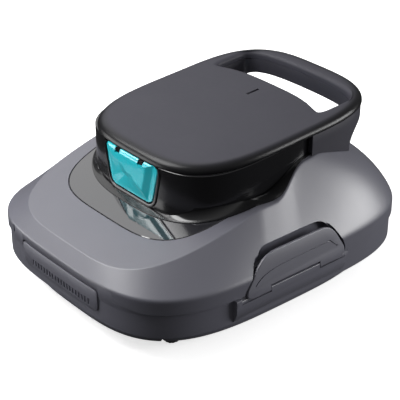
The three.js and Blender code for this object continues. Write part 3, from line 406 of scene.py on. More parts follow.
def finish_piece(obj, finish, body, node):
    """Gives a piece its finish, its body to ride on and the CAD node it stands for."""
    coat(obj, finish)
    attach(obj, body)
    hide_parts(node)


# ------------------------------------------------------------------ sizes and colours to change
def shade_property(name, description, default):
    """A colour to pick, red, green, blue and alpha from 0 to 1."""
    return bpy.props.FloatVectorProperty(name=name, description=description, default=default,
                                         size=4, min=0, max=1, subtype="COLOR")


def length_property(name, description, default):
    """A length to set, its default given in millimetres."""
    return bpy.props.FloatProperty(name=name, description=description, default=default * MM,
                                   min=0, unit="LENGTH")


class CLEANER_PG_colours(bpy.types.PropertyGroup):
    """Colours of the cleaner's plastics and rubbers."""

    casing: shade_property("Casing", "Satin grey of casing and tray", (0.112, 0.112, 0.138, 1))
    panel: shade_property("Deck panel", "Polished smoked panel", (0.018, 0.018, 0.022, 1))
    black: shade_property("Black", "Polished black of the pod", (0.006, 0.006, 0.007, 1))
    cover: shade_property("Cover", "Soft-touch charcoal", (0.048, 0.047, 0.06, 1))
    teal: shade_property("Teal", "Outlet flaps and impeller", (0.02, 0.52, 0.60, 1))
    rubber: shade_property("Rubber", "Seals, sweepers and tyres", (0.012, 0.012, 0.013, 1))
    lid: shade_property("Basket", "White basket plastic", (0.72, 0.74, 0.75, 1))
    floor: shade_property("Floor", "Studio floor", (0.93, 0.93, 0.93, 1))


class CLEANER_PG_sizes(bpy.types.PropertyGroup):
    """Sizes of the visual detail that the working frame leaves plain."""

    crease: length_property("Crease", "Round along the deck's edge", 1.6)
    seam: length_property("Seam", "Gap round the deck panel", 0.9)
    cover_round: length_property("Cover round", "Radius of the cover's outer edge", 8.0)
    hole_round: length_property("Hole round", "Radius of the hand hole's lip", 5.0)
    flap_rise: length_property("Flap rise", "How far the flap's middle stands proud", 3.4)
    groove: length_property("Latch groove", "Width of the arc on the latch", 1.7)
    tread: length_property("Tread", "Depth of the tyres' ribs", 0.8)
    ribs: bpy.props.IntProperty(name="Ribs", description="Slots in a grip pad", default=20, min=2,
                                max=60)


def sizes():
    """The sizes set in the sidebar."""
    return bpy.context.scene.cleaner_sizes


def colours():
    """The colours set in the sidebar."""
    return bpy.context.scene.cleaner_colours


# ------------------------------------------------------------------ finishes
def new_group(name, inputs, outputs):
    """A shader node group with float or colour sockets given as (name, kind, default). Gives its
    wiring and what comes in."""
    group = bpy.data.node_groups.new(name, "ShaderNodeTree")
    for direction, sockets in (("INPUT", inputs), ("OUTPUT", outputs)):
        for label, kind, default in sockets:
            socket = group.interface.new_socket(
                label, in_out=direction,
                socket_type="NodeSocketColor" if kind == "colour" else "NodeSocketFloat")
            if direction == "INPUT":
                socket.default_value = default
    wiring = Wiring(group)
    return wiring, wiring.node("NodeGroupInput").outputs


class Wiring:
    """Short names for adding and joining nodes in one tree."""

    def __init__(self, tree):
        self.tree = tree

    def node(self, kind, inputs=None, **settings):
        made = self.tree.nodes.new(kind)
        for key, value in settings.items():
            setattr(made, key, value)
        for key, value in (inputs or {}).items():
            self.put(made.inputs[key], value)
        return made

    def group(self, name, inputs=None):
        return self.node("ShaderNodeGroup", inputs, node_tree=bpy.data.node_groups[name])

    def place(self):
        return self.node("ShaderNodeTexCoord").outputs["Object"]

    def put(self, socket, value):
        if isinstance(value, bpy.types.NodeSocket):
            self.tree.links.new(value, socket)
        else:
            socket.default_value = value

    def maths(self, operation, a, b=0.0, clamp=False):
        made = self.node("ShaderNodeMath", {0: a, 1: b}, operation=operation, use_clamp=clamp)
        return made.outputs[0]

    def noise(self, vector, scale, detail=2.0):
        inputs = {"Vector": vector, "Scale": scale, "Detail": detail}
        return self.node("ShaderNodeTexNoise", inputs).outputs["Fac"]

    def blend(self, share, a, b):
        inputs = {"Factor": share, "A": a, "B": b}
        return self.node("ShaderNodeMix", inputs, data_type="RGBA").outputs["Result"]

    def relief(self, height, distance):
        """Bump of so many millimetres, as a normal."""
        inputs = {"Height": height, "Distance": distance * MM}
        return self.node("ShaderNodeBump", inputs).outputs["Normal"]


def build_moulded_group():
    """Moulded surface: large soft drift in tone and gloss, and a fine grain for bump.
    Colour = colour x (1 + drift x (noise - 0.5)); roughness drifts the same way."""
    w, given = new_group(
        "moulded_surface",
        [("Colour", "colour", (0.1, 0.1, 0.1, 1)), ("Drift", "float", 0.15),
         ("Drift Scale", "float", 18.0), ("Roughness", "float", 0.4),
         ("Roughness Drift", "float", 0.06), ("Grain Scale", "float", 1400.0)],
        [("Colour", "colour", None), ("Roughness", "float", None), ("Height", "float", None)])
    place = w.place()
    drift = w.maths("SUBTRACT", w.noise(place, given["Drift Scale"]), 0.5)
    share = w.maths("MULTIPLY", drift, given["Drift"])
    gain = w.maths("ADD", share, 1.0)
    tinted = w.node("ShaderNodeVectorMath", operation="SCALE")
    w.put(tinted.inputs[0], given["Colour"])
    w.put(tinted.inputs["Scale"], gain)
    fine = w.noise(place, w.maths("MULTIPLY", given["Drift Scale"], 9.0), 3.0)
    gloss = w.maths("MULTIPLY", w.maths("SUBTRACT", fine, 0.5), given["Roughness Drift"])
    out = w.node("NodeGroupOutput")
    w.put(out.inputs["Colour"], tinted.outputs[0])
    w.put(out.inputs["Roughness"], w.maths("ADD", gloss, given["Roughness"], clamp=True))
    w.put(out.inputs["Height"], w.noise(place, given["Grain Scale"], 1.0))


def build_dust_group():
    """Dust: lies where the surface faces up, in soft patches. Mask = up^3 x patch x amount."""
    w, given = new_group("settled_dust",
                         [("Amount", "float", 0.05), ("Patch Scale", "float", 30.0)],
                         [("Mask", "float", None)])
    place = w.place()
    normal = w.node("ShaderNodeNewGeometry").outputs["Normal"]
    facing = w.node("ShaderNodeSeparateXYZ", {0: normal})
    up = w.maths("POWER", w.maths("MAXIMUM", facing.outputs["Z"], 0.0), 3.0)
    patch = w.noise(place, given["Patch Scale"], 5.0)
    mask = w.maths("MULTIPLY", w.maths("MULTIPLY", up, patch), given["Amount"], clamp=True)
    w.put(w.node("NodeGroupOutput").inputs["Mask"], mask)


def build_rim_group():
    """Rim band: 0 on the middle of a superellipse plate and 1 at its rim, where the measure
    (|x/a|^n + |(y-c)/b|^n)^(1/n) passes from the start to the end of the band."""
    w, given = new_group(
        "rim_band",
        [("Half Width", "float", 0.1), ("Half Length", "float", 0.1), ("Centre", "float", 0.0),
         ("Squareness", "float", 3.0), ("Start", "float", 0.85), ("End", "float", 1.0)],
        [("Band", "float", None)])
    place = w.node("ShaderNodeSeparateXYZ", {0: w.place()})
    across = w.maths("DIVIDE", w.maths("ABSOLUTE", place.outputs["X"]), given["Half Width"])
    along = w.maths("ABSOLUTE", w.maths("SUBTRACT", place.outputs["Y"], given["Centre"]))
    along = w.maths("DIVIDE", along, given["Half Length"])
    total = w.maths("ADD", w.maths("POWER", across, given["Squareness"]),
                    w.maths("POWER", along, given["Squareness"]))
    measure = w.maths("POWER", total, w.maths("DIVIDE", 1.0, given["Squareness"]))
    band = w.node("ShaderNodeMapRange", {"Value": measure, "From Min": given["Start"],
                                         "From Max": given["End"]},
                  interpolation_type="SMOOTHSTEP")
    w.put(w.node("NodeGroupOutput").inputs["Band"], band.outputs["Result"])


def paint_rim_shade(material, colour, roughness):
    """Blends a plate's colour to a darker one along its rim, a painted shade on the rounded edge,
    and its roughness to a glossier one.
    """
    w = Wiring(material.node_tree)
    principled = material.node_tree.nodes["Principled BSDF"]
    band = w.group("rim_band", {"Half Width": 0.1085, "Half Length": 0.138,
                                "Centre": RIM_CENTRE * MM, "Squareness": RIM_SQUARENESS,
                                "Start": 0.9, "End": 0.985})
    share = band.outputs["Band"]
    for key, value in (("Base Color", tuple(colour)), ("Roughness", roughness)):
        socket = principled.inputs[key]
        before = socket.links[0].from_socket
        if key == "Base Color":
            w.put(socket, w.blend(share, before, value))
        else:
            gap = w.maths("MULTIPLY", w.maths("SUBTRACT", value, before), share)
            w.put(socket, w.maths("ADD", before, gap))


def build_weave_group():
    """Woven screen: two crossed sine waves; height is their larger, holes where both are low."""
    w, given = new_group("woven_screen", [("Pitch", "float", 900.0)],
                         [("Height", "float", None), ("Threads", "float", None)])
    place = w.place()
    waves = []
    for direction in ("DIAGONAL", "Z"):
        wave = w.node("ShaderNodeTexWave", {"Vector": place, "Scale": given["Pitch"]},
                      bands_direction=direction)
        waves.append(wave.outputs["Fac"])
    height = w.maths("MAXIMUM", waves[0], waves[1])
    out = w.node("NodeGroupOutput")
    w.put(out.inputs["Height"], height)
    w.put(out.inputs["Threads"], w.maths("GREATER_THAN", height, 0.4))


def moulded(name, colour, roughness, drift=0.12, spread=0.06, grain=1400.0, bump=0.02, dust=0.0,
            **shader):
    """A moulded plastic, rubber or metal: the moulded group for tone, gloss and grain, with
    settled dust over it, and the rest set on the shader's own sockets."""
    material = bpy.data.materials.new(name)
    material.use_nodes = True
    w = Wiring(material.node_tree)
    principled = material.node_tree.nodes["Principled BSDF"]
    surface = w.group("moulded_surface", {
        "Colour": tuple(colour), "Drift": drift, "Roughness": roughness,
        "Roughness Drift": spread, "Grain Scale": grain})
    tone = surface.outputs["Colour"]
    gloss = surface.outputs["Roughness"]
    if dust:
        settled = w.group("settled_dust", {"Amount": dust})
        tone = w.blend(settled.outputs["Mask"], tone, (0.5, 0.49, 0.47, 1))
        gloss = w.maths("ADD", gloss, settled.outputs["Mask"], clamp=True)
    w.put(principled.inputs["Base Color"], tone)
    w.put(principled.inputs["Roughness"], gloss)
    if bump:
        w.put(principled.inputs["Normal"], w.relief(surface.outputs["Height"], bump))
    for key, value in shader.items():
        label = key.replace("_", " ").title().replace("Ior", "IOR")
        principled.inputs[label].default_value = value
    return material


def screen_finish(name, colour):
    """Woven screen: thread height for bump and holes cut out by alpha."""
    material = moulded(name, colour, 0.6, bump=0)
    w = Wiring(material.node_tree)
    principled = material.node_tree.nodes["Principled BSDF"]
    weave = w.group("woven_screen")
    w.put(principled.inputs["Normal"], w.relief(weave.outputs["Height"], 0.2))
    w.put(principled.inputs["Alpha"], weave.outputs["Threads"])
    return material


class CLEANER_OT_finishes(bpy.types.Operator):
    """Mix every finish of the cleaner from the shared node groups"""

    bl_idname = "cleaner.finishes"
    bl_label = "Mix finishes"

    def execute(self, context):
        build_moulded_group()
        build_dust_group()
        build_weave_group()
        build_rim_group()
        c = colours()
        moulded("casing satin", c.casing, 0.42, dust=0.03, bump=0.012, coat_weight=0.6,
                coat_roughness=0.42, coat_ior=1.55)
        moulded("panel polish", c.panel, 0.06, spread=0.02, bump=0, dust=0.02, ior=1.75,
                coat_weight=0.6, coat_roughness=0.02, coat_ior=1.6)
        moulded("pod polish", c.black, 0.2, spread=0.04, bump=0, dust=0.01, ior=1.45,
                coat_weight=0.4, coat_roughness=0.12)
        cover = moulded("cover soft touch", c.cover, 0.52, dust=0.02, bump=0.02, grain=2600.0,
                        specular_ior_level=0.25)
        # painted shade: the cover's rounded rim is darkened towards the pod's black
        paint_rim_shade(cover, c.black, 0.3)
        moulded("handle satin", mixed(c.cover, c.black, 0.2), 0.42, bump=0.015, grain=2400.0)
        moulded("flap teal", c.teal, 0.22, drift=0.08, bump=0, coat_weight=0.5, coat_roughness=0.05)
        moulded("soft rubber", c.rubber, 0.7, bump=0.05, grain=900.0, dust=0.04)
        moulded("tyre rubber", mixed(c.rubber, c.casing, 0.15), 0.8, bump=0.08, grain=700.0,
                dust=0.08)
        moulded("hub nylon", mixed(c.casing, c.lid, 0.25), 0.5, bump=0.02)
        moulded("brushed steel", (0.62, 0.63, 0.65, 1), 0.28, spread=0.2, bump=0.01, metallic=1.0)
        moulded("basket plastic", c.lid, 0.45, bump=0.02, dust=0.03)
        moulded("smoked lamp lens", c.panel, 0.1, bump=0, coat_weight=1.0, coat_roughness=0.02)
        moulded("cell wrap", (0.03, 0.1, 0.3, 1), 0.3, bump=0.03, grain=300.0, coat_weight=0.6)
        moulded("circuit board", (0.015, 0.14, 0.06, 1), 0.35, drift=0.4, bump=0.05, grain=600.0)
        moulded("closed-cell foam", (0.78, 0.76, 0.68, 1), 0.95, drift=0.2, bump=0.3, grain=420.0)
        screen_finish("filter screen", (0.42, 0.47, 0.5, 1))
        return {"FINISHED"}


def mixed(a, b, share):
    """A colour a share of the way from a to b."""
    return tuple(mix(np.array(a), np.array(b), share))


# ------------------------------------------------------------------ casing
def shoulder_row(t, shrink=0.0, drop=0.0):
    """A row a share t up the shoulder, from the skirt's top to the deck's edge. Behind, it swells
    outwards by 14 x 4t(1-t) x sin^1.2 of the angle."""
    low = case_ring(SKIRT_TOP - drop, shrink)
    high = deck_ring(lambda y: deck_z(y) - drop, shrink)
    swell = 14 * 4 * t * (1 - t) * np.maximum(0, np.sin(ring_angles())) ** 1.2
    row = mix(low, high, t)
    row[:, 0] += np.sign(low[:, 0]) * np.minimum(swell * 0.35, np.abs(low[:, 0]) * 0.1)
    row[:, 1] += swell * 0.75
    row[:, 2] += swell * 0.65
    return row


def casing_outside():
    """Rows up the outside: skirt, shoulder, the rounded crease, and the deck as far as the seam."""
    crease = sizes().crease / MM
    rows = [case_ring(PARTING_Z + 0.2, 0.5), case_ring(PARTING_Z + 0.7)]
    rows += [case_ring(z) for z in np.linspace(PARTING_Z + 1.6, SKIRT_TOP - 3.5, 5)]
    skirt_edge = bezier(case_ring(SKIRT_TOP - 3), case_ring(SKIRT_TOP), shoulder_row(0.07), 6)
    rows += skirt_edge
    rows += [shoulder_row(t) for t in np.linspace(0.1, 0.95, 26)]
    edge = shoulder_row(1.0)
    seam = panel_ring(deck_z, -sizes().seam / MM)
    step = crease / np.maximum(np.linalg.norm(seam - edge, axis=1), 1)[:, None]
    rows += bezier(shoulder_row(0.975), edge, mix(edge, seam, np.minimum(step, 0.5)), 7)
    rows += [mix(rows[-1], seam, t) for t in (0.2, 0.4, 0.6, 0.8)]
    for row in rows[-4:]:
        row[:, 2] = deck_z(row[:, 1])
    rows += [seam]
    return rows


class CLEANER_OT_casing(bpy.types.Operator):
    """Casing: a 3 mm skin with the deck, the rear hump, the latch pockets and the end notches"""

    bl_idname = "cleaner.casing"
    bl_label = "Casing"

    def execute(self, context):
        outside = casing_outside()
        seat = 1.8
        angle = ring_angles()
        hole = np.column_stack([MOTOR_HOLE * np.cos(angle), MOTOR_HOLE * np.sin(angle) + MOTOR_Y,
                                0 * angle])
        seat_ring = panel_ring(lambda y: deck_z(y) - 0.35, -0.15 - sizes().seam / MM * 0.8)
        rows = outside + [seat_ring, panel_ring(lambda y: deck_z(y) - seat, 0.0)]
        rows += [well_ring(lambda y: deck_z(y) - seat), well_ring(lambda y: deck_z(y) - seat, 4)]
        rows += [well_ring(WELL_FLOOR_Z, 9), hole + (0, 0, WELL_FLOOR_Z)]
        rows += [hole + (0, 0, WELL_FLOOR_Z - WALL), well_ring(WELL_FLOOR_Z - WALL, 12)]
        rows += [well_ring(lambda y: deck_z(y) - seat - WALL, 2)]
        rows += [shoulder_row(t, WALL, WALL) for t in (1, 0.8, 0.6, 0.4, 0.2, 0)]
        rows += [case_ring(PARTING_Z + 0.2, WALL)]
        casing = loft("casing", rows, loop=True)
        top = PIVOT_Z + LATCH_HEIGHT + 1.5
        filled = [row * (0.9999, 0.9999, 1) - (0, 0, 0.02) for row in outside]
        for side in (-1, 1):
            backing = carve(block(HALF_WIDTH - POCKET_DEPTH - WALL, HALF_WIDTH - 0.5,
                                  LATCH_BOTTOM[0] - 5, LATCH_BOTTOM[1] + 5, PARTING_Z + 0.22,
                                  top + 3.5),
                            "UNION",
                            block(HALF_WIDTH - FINGER_DEPTH - WALL, HALF_WIDTH, LATCH_TOP[0] - 5,
                                  LATCH_TOP[1] + 5, SKIRT_TOP + 1, top + 3.5))
            carve(backing, "INTERSECT", loft("filled", filled))
            carve(casing, "UNION", mirrored(backing, side))
            mouth_top = (LATCH_TOP[0] - POCKET_GAP, LATCH_TOP[1] + POCKET_GAP)
            mouth = trapezium((LATCH_BOTTOM[0] - POCKET_GAP, LATCH_BOTTOM[1] + POCKET_GAP),
                              mouth_top, PARTING_Z - 5, top, (18, 20, 16, 18))
            scoop = trapezium((LATCH_TOP[0] - 8, LATCH_TOP[1] + 6), mouth_top, SKIRT_TOP + 4, top,
                              (4, 4, 16, 16))
            cut = plate("pocket", mouth, "x", HALF_WIDTH - POCKET_DEPTH, HALF_WIDTH + 20)
            deep = plate("scoop", scoop, "x", HALF_WIDTH - FINGER_DEPTH, HALF_WIDTH + 20)
            carve(casing, "DIFFERENCE", mirrored(cut, side), mirrored(deep, side))
            carve(casing, "DIFFERENCE", plate("notch", notch_outline(0.5), "y",
                                              *span(side, HALF_LENGTH - 32, HALF_LENGTH + 6)))
        finish_piece(casing, "casing satin", "upper_unit", "upper_shell")
        return {"FINISHED"}


def notch_outline(gap):
    """Notch in the casing's end for the grip block, a gap larger all round: a level top, short
    steps, then a slope to the parting."""
    low, line = PARTING_Z - 6, PARTING_Z + gap - 0.2
    half, run = GRIP_HALF + gap, GRIP_RUN + gap
    top, shoulder = GRIP_TOP + gap, GRIP_SHOULDER + gap
    return [(-run, low), (run, low), (run, line), (half, shoulder), (half, top), (-half, top),
            (-half, shoulder), (-run, line)]


class CLEANER_OT_panel(bpy.types.Operator):
    """Deck panel: a polished sheet let into the deck behind a fine seam"""

    bl_idname = "cleaner.panel"
    bl_label = "Deck panel"

    def execute(self, context):
        low = (lambda y: deck_z(y) - 1.4)
        edge, inner = panel_ring(deck_z, 0.5), well_ring(deck_z)
        rows = [panel_ring(low, 0.1), panel_ring(lambda y: deck_z(y) - 0.4, 0.1), edge]
        rows += [mix(edge, inner, t) for t in np.linspace(0.02, 0.98, 12)]
        for row in rows[3:]:
            row[:, 2] = deck_z(row[:, 1])
        rows += [inner, well_ring(low)]
        panel = loft("deck_panel", rows, loop=True)
        carve(panel, "INTERSECT", block(-200, 200, -400, -40, 50, 200))
        finish_piece(panel, "panel polish", "upper_unit", "deck_inlay")
        return {"FINISHED"}


# ------------------------------------------------------------------ pod
class CLEANER_OT_collar(bpy.types.Operator):
    """Pod collar: a scooped skirt from the deck up to the pod's wall,
    curve a(1-t)^2 + 2bt(1-t) + ct^2"""

    bl_idname = "cleaner.collar"
    bl_label = "Pod collar"

    def execute(self, context):
        foot = foot_ring(lambda y: deck_z(y) + 0.9)
        corner = pod_ring(lambda y: deck_z(y) + 1.6, -1.0)
        head = pod_ring(lambda y: wall_foot_z(y) - 0.3, 0.8)
        under = (lambda y: deck_z(y) + 0.15)
        rows = [foot_ring(under, 0.2), foot_ring(lambda y: deck_z(y) + 0.5)]
        rows += bezier(foot, corner, head, 18)
        rows += [pod_ring(lambda y: wall_foot_z(y) - 0.3, 4), pod_ring(under, 5)]
        collar = loft("pod_collar", rows, loop=True)
        finish_piece(collar, "pod polish", "upper_unit", "pod_foot")
        return {"FINISHED"}


def outlet_window(halves, low_z, height, grow, radius):
    """A window's outline from its half widths at foot and head, a margin larger all round but at
    most 1 mm at the top."""
    foot, head = (half + grow for half in halves)
    return trapezium((-foot, foot), (-head, head), low_z - grow, low_z + height + min(grow, 1),
                     radius)


def front_window(grow, radius=9.0):
    """Outline of the front outlet window."""
    return outlet_window(FLAP_HALVES, FLAP_BOTTOM_Z, FLAP_HEIGHT, grow, radius)


def rear_window(grow, radius=4.0):
    """Outline of the rear outlet window."""
    return outlet_window(REAR_FLAP_HALVES, REAR_FLAP_BOTTOM_Z, REAR_FLAP_HEIGHT, grow, radius)


class CLEANER_OT_pod_wall(bpy.types.Operator):
    """Pod wall: a polished tube on the pod's outline with the two windows and button holes"""

    bl_idname = "cleaner.pod_wall"
    bl_label = "Pod wall"

    def execute(self, context):
        rows = [pod_ring(wall_foot_z, 1.2), pod_ring(lambda y: wall_foot_z(y) + 0.25, 0.3)]
        low = pod_ring(lambda y: wall_foot_z(y) + 0.9)
        high = pod_ring(wall_top_z)
        rows += [mix(low, high, t) for t in np.linspace(0, 1, 14)]
        rows += [pod_ring(lambda y: wall_top_z(y) + 0.4, inset) for inset in (0.4, WALL)]
        rows += [pod_ring(lambda y: wall_foot_z(y) + 0.1, WALL)]
        wall = loft("pod_wall", rows, loop=True)
        carve(wall, "DIFFERENCE",
              plate("window", front_window(4), "y", POD_FRONT - 5, POD_FRONT + 20),
              plate("window", rear_window(3), "y", POD_BACK - 20, POD_BACK + 5),
              *(rod("y", BUTTON_RADIUS + 0.6, POD_BACK - 18, POD_BACK + 6, (x, BUTTON_Z))
                for x in (-BUTTON_X, BUTTON_X)))
        finish_piece(wall, "pod polish", "upper_unit", "pod_body")
        return {"FINISHED"}


def window_frame(name, window, end, radius, base):
    """A frame round a window: a section (grow, stand-off) swept round the window's outline and laid
    on the pod's wall, so y = wall(x) + stand-off."""
    section = [(base + 0.4, -1.0), (base + 0.4, 0.5), (base + 0.1, 0.95), (base - 0.5, 1.15),
               (2.2, 1.15), (1.5, 0.9), (1.1, 0.3), (0.9, -7.0), (base - 0.6, -7.0)]
    rows = []
    for grow, stand in section:
        outline = window(grow, radius + max(grow, 0))
        y = pod_face_y(outline[:, 0], end) + end * stand
        rows.append(np.column_stack([outline[:, 0], y, outline[:, 1]]))
    return loft(name, rows, loop=True, sharp=50)


class CLEANER_OT_window_frames(bpy.types.Operator):
    """Window frames: polished rims that line the two outlet windows"""

    bl_idname = "cleaner.window_frames"
    bl_label = "Window frames"

    def execute(self, context):
        front = window_frame("front_window_frame", front_window, -1, 9, 4.6)
        rear = window_frame("rear_window_frame", rear_window, 1, 4, 3.4)
        finish_piece(front, "pod polish", "upper_unit", "front_bezel")
        finish_piece(rear, "pod polish", "upper_unit", "rear_bezel")
        return {"FINISHED"}


def flap(name, window, end, low_z, rise_height, half_widths, height):
    """A flap as a hipped shield: y = face + rise, where rise is the least of three slopes measured
    from the lower edge and the two sides, held at the flap's rise."""
    outline = window(-0.2, 8 if end < 0 else 4)
    centre = np.array([0.0, low_z + height * 0.62])
    shares = np.concatenate([[1.0], np.linspace(0.985, 0.02, 40)])
    rows = []
    for share in shares:
        pair = centre + (outline - centre) * share
        x, z = pair[:, 0], pair[:, 1]
        half = mix(half_widths[0], half_widths[1], (z - low_z) / height)
        lower = (z - low_z - 1.5) * 0.42 - 0.17 * (half - x) + 1.2
        left = (x + half - 4) * 0.5
        right = (half - 7 - x) * 0.42
        rise = np.clip(np.minimum(np.minimum(lower, left), right), 0, rise_height)
        face = pod_face_y(x, end) + end * (0.2 + rise - 0.7 * (share == 1.0))
        rows.append(np.column_stack([x, face, z]))
    back = rows[0].copy()
    back[:, 1] = pod_face_y(back[:, 0], end) - end * 1.2
    return loft(name, [back] + rows, sharp=28)


class CLEANER_OT_flaps(bpy.types.Operator):
    """Outlet flaps: hipped teal shields with two slots for the hinge lugs"""

    bl_idname = "cleaner.flaps"
    bl_label = "Outlet flaps"

    def execute(self, context):
        rise = sizes().flap_rise / MM
        for name, node, window, end, low_z, height, halves, high in (
                ("outlet_flap_front", "front_flap", front_window, -1, FLAP_BOTTOM_Z, FLAP_HEIGHT,
                 FLAP_HALVES, rise),
                ("outlet_flap_rear", "rear_flap", rear_window, 1, REAR_FLAP_BOTTOM_Z,
                 REAR_FLAP_HEIGHT, REAR_FLAP_HALVES, 1.2)):
            shield = flap(name, window, end, low_z, high, halves, height)
            top = low_z + height
            y = POD_FRONT if end < 0 else POD_BACK
            carve(shield, "DIFFERENCE",
                  *(block(x - 4.1, x + 4.1, y - 8, y + 8, top - 6, top + 20)
                    for x in (-LUG_X, LUG_X)))
            finish_piece(shield, "flap teal", node, node)
        return {"FINISHED"}


# ------------------------------------------------------------------ cover and handle
def cover_z(x, y):
    """Top of the cover: 3.3 mm over the rim and a 1.5 mm crown, 1.5 (1 - e^2), where e is the
    superellipse measure of the point, 1 at the rim."""
    square = RIM_SQUARENESS
    e = (np.abs(x / 99.4) ** square + np.abs((y - RIM_CENTRE) / 130) ** square) ** (1 / square)
    return rim_z(y) + 3.3 + 1.5 * (1 - np.minimum(e, 1) ** 2)


def hole_ring(z, grow=0.0):
    """Hand hole: rounded behind, and in front an edge 2.2 mm behind the pod's wall, so that its
    corners reach forward beside the pod."""
    c, s, reach = ring_reach(lambda sine: np.where(sine < 0, 9.0, 2.7))
    x = c * reach * (HOLE_HALF_WIDTH + grow)
    front = pod_face_y(np.minimum(np.abs(x), 83.0), 1) + 2.2 - grow
    length = np.where(s < 0, HOLE_CENTRE - front, HOLE_BACK + grow - HOLE_CENTRE)
    y = HOLE_CENTRE + s * reach * length
    return np.column_stack([x, y, z(x, y) if callable(z) else z + 0 * y])


class CLEANER_OT_cover(bpy.types.Operator):
    """Cover: a crowned soft-touch lid with a wide rounded edge, run on as the handle's top round
    the hand hole. Edge rows follow a quarter circle: inset r(1 - cos a), height r sin a"""

    bl_idname = "cleaner.cover"
    bl_label = "Cover"

    def execute(self, context):
        r = sizes().cover_round / MM
        lip = sizes().hole_round / MM
        under = -5.2
        rows = [rim_ring(lambda y: rim_z(y) + under, 0.5),
                rim_ring(lambda y: rim_z(y) + under + 0.3, 0.1)]
        for a in np.linspace(0, np.pi / 2, 12):
            rows.append(rim_ring(lambda y, h=r * np.sin(a): rim_z(y) - 4.7 + h,
                                 r * (1 - np.cos(a))))
        outer = rows[-1]
        outer[:, 2] = cover_z(outer[:, 0], outer[:, 1])
        inner = hole_ring(cover_z, lip)
        shares = np.concatenate([[0.02, 0.05], np.linspace(0.1, 0.95, 30), [0.98]])
        for t in shares:
            row = mix(outer, inner, t)
            row[:, 2] = cover_z(row[:, 0], row[:, 1])
            rows.append(row)
        rows.append(inner)
        for a in np.linspace(0.12, 1, 8) * np.pi / 2:
            drop = lip * (1 - np.cos(a))
            rows.append(hole_ring(lambda x, y, d=drop: cover_z(x, y) - d, lip * (1 - np.sin(a))))
        bottom = (lambda x, y: rim_z(y) + under)
        rows += [hole_ring(bottom)]
        cover = loft("top_cover_shell", rows, loop=True)
        lamp_slot = block(-1.6, 1.6, 64.5, 82.6, 180.7, 200)
        carve(cover, "DIFFERENCE", lamp_slot)
        finish_piece(cover, "cover soft touch", "upper_unit", "top_cover")
        return {"FINISHED"}


class CLEANER_OT_handle(bpy.types.Operator):
    """Handle: the rim's outline carried down beside the pod, with the gap under the bar cut to a
    smooth curve"""

    bl_idname = "cleaner.handle"
    bl_label = "Handle"

    def execute(self, context):
        levels = [118.0, *np.linspace(125, 165, 9), wall_top_z]
        handle = loft("handle_grip", [rim_ring(z, 0.9) for z in levels])
        carve(handle, "INTERSECT", block(-300, 300, 62, 300, 0, 400))
        carve(handle, "DIFFERENCE",
              loft("pod", [pod_ring(50.0, -0.3), pod_ring(250.0, -0.3)]),
              loft("foot", [foot_ring(50.0, -1.4), foot_ring(152.4, -1.4)]),
              loft("hole", [hole_ring(50.0), hole_ring(250.0)]),
              block(-68, 68, 60, HOLE_CENTRE, 50, 250))
        arm = np.array([(ARM_BACK, 141.0), (ARM_BACK + 6, 159.0),
                        (ARM_BACK + 30, HANDLE_BOTTOM - 0.4)])
        bar = np.array([(160.0, HANDLE_BOTTOM), (172.0, HANDLE_BOTTOM + 1.0),
                        (184.0, HANDLE_BOTTOM + 9.0)])
        curve = np.vstack([(ARM_BACK, 50), (ARM_BACK, 139), *bezier(*arm, 16), *bezier(*bar, 10),
                           (300, 180), (300, 50)])
        carve(handle, "DIFFERENCE", plate("gap", curve, "x", -200, 200))
        carve(handle, "DIFFERENCE", loft("casing", casing_solid(0.4)))
        soften(handle, 1.6, 3)
        finish_piece(handle, "handle satin", "upper_unit", "handle_lower")
        return {"FINISHED"}


def casing_solid(gap):
    """Rows of the filled casing, every face moved out by a gap."""
    rows = [case_ring(PARTING_Z, -gap)]
    rows += [shoulder_row(t, -gap, -gap) for t in np.linspace(0, 1, 12)]
    return rows + [well_ring(lambda y: deck_z(y) + gap)]


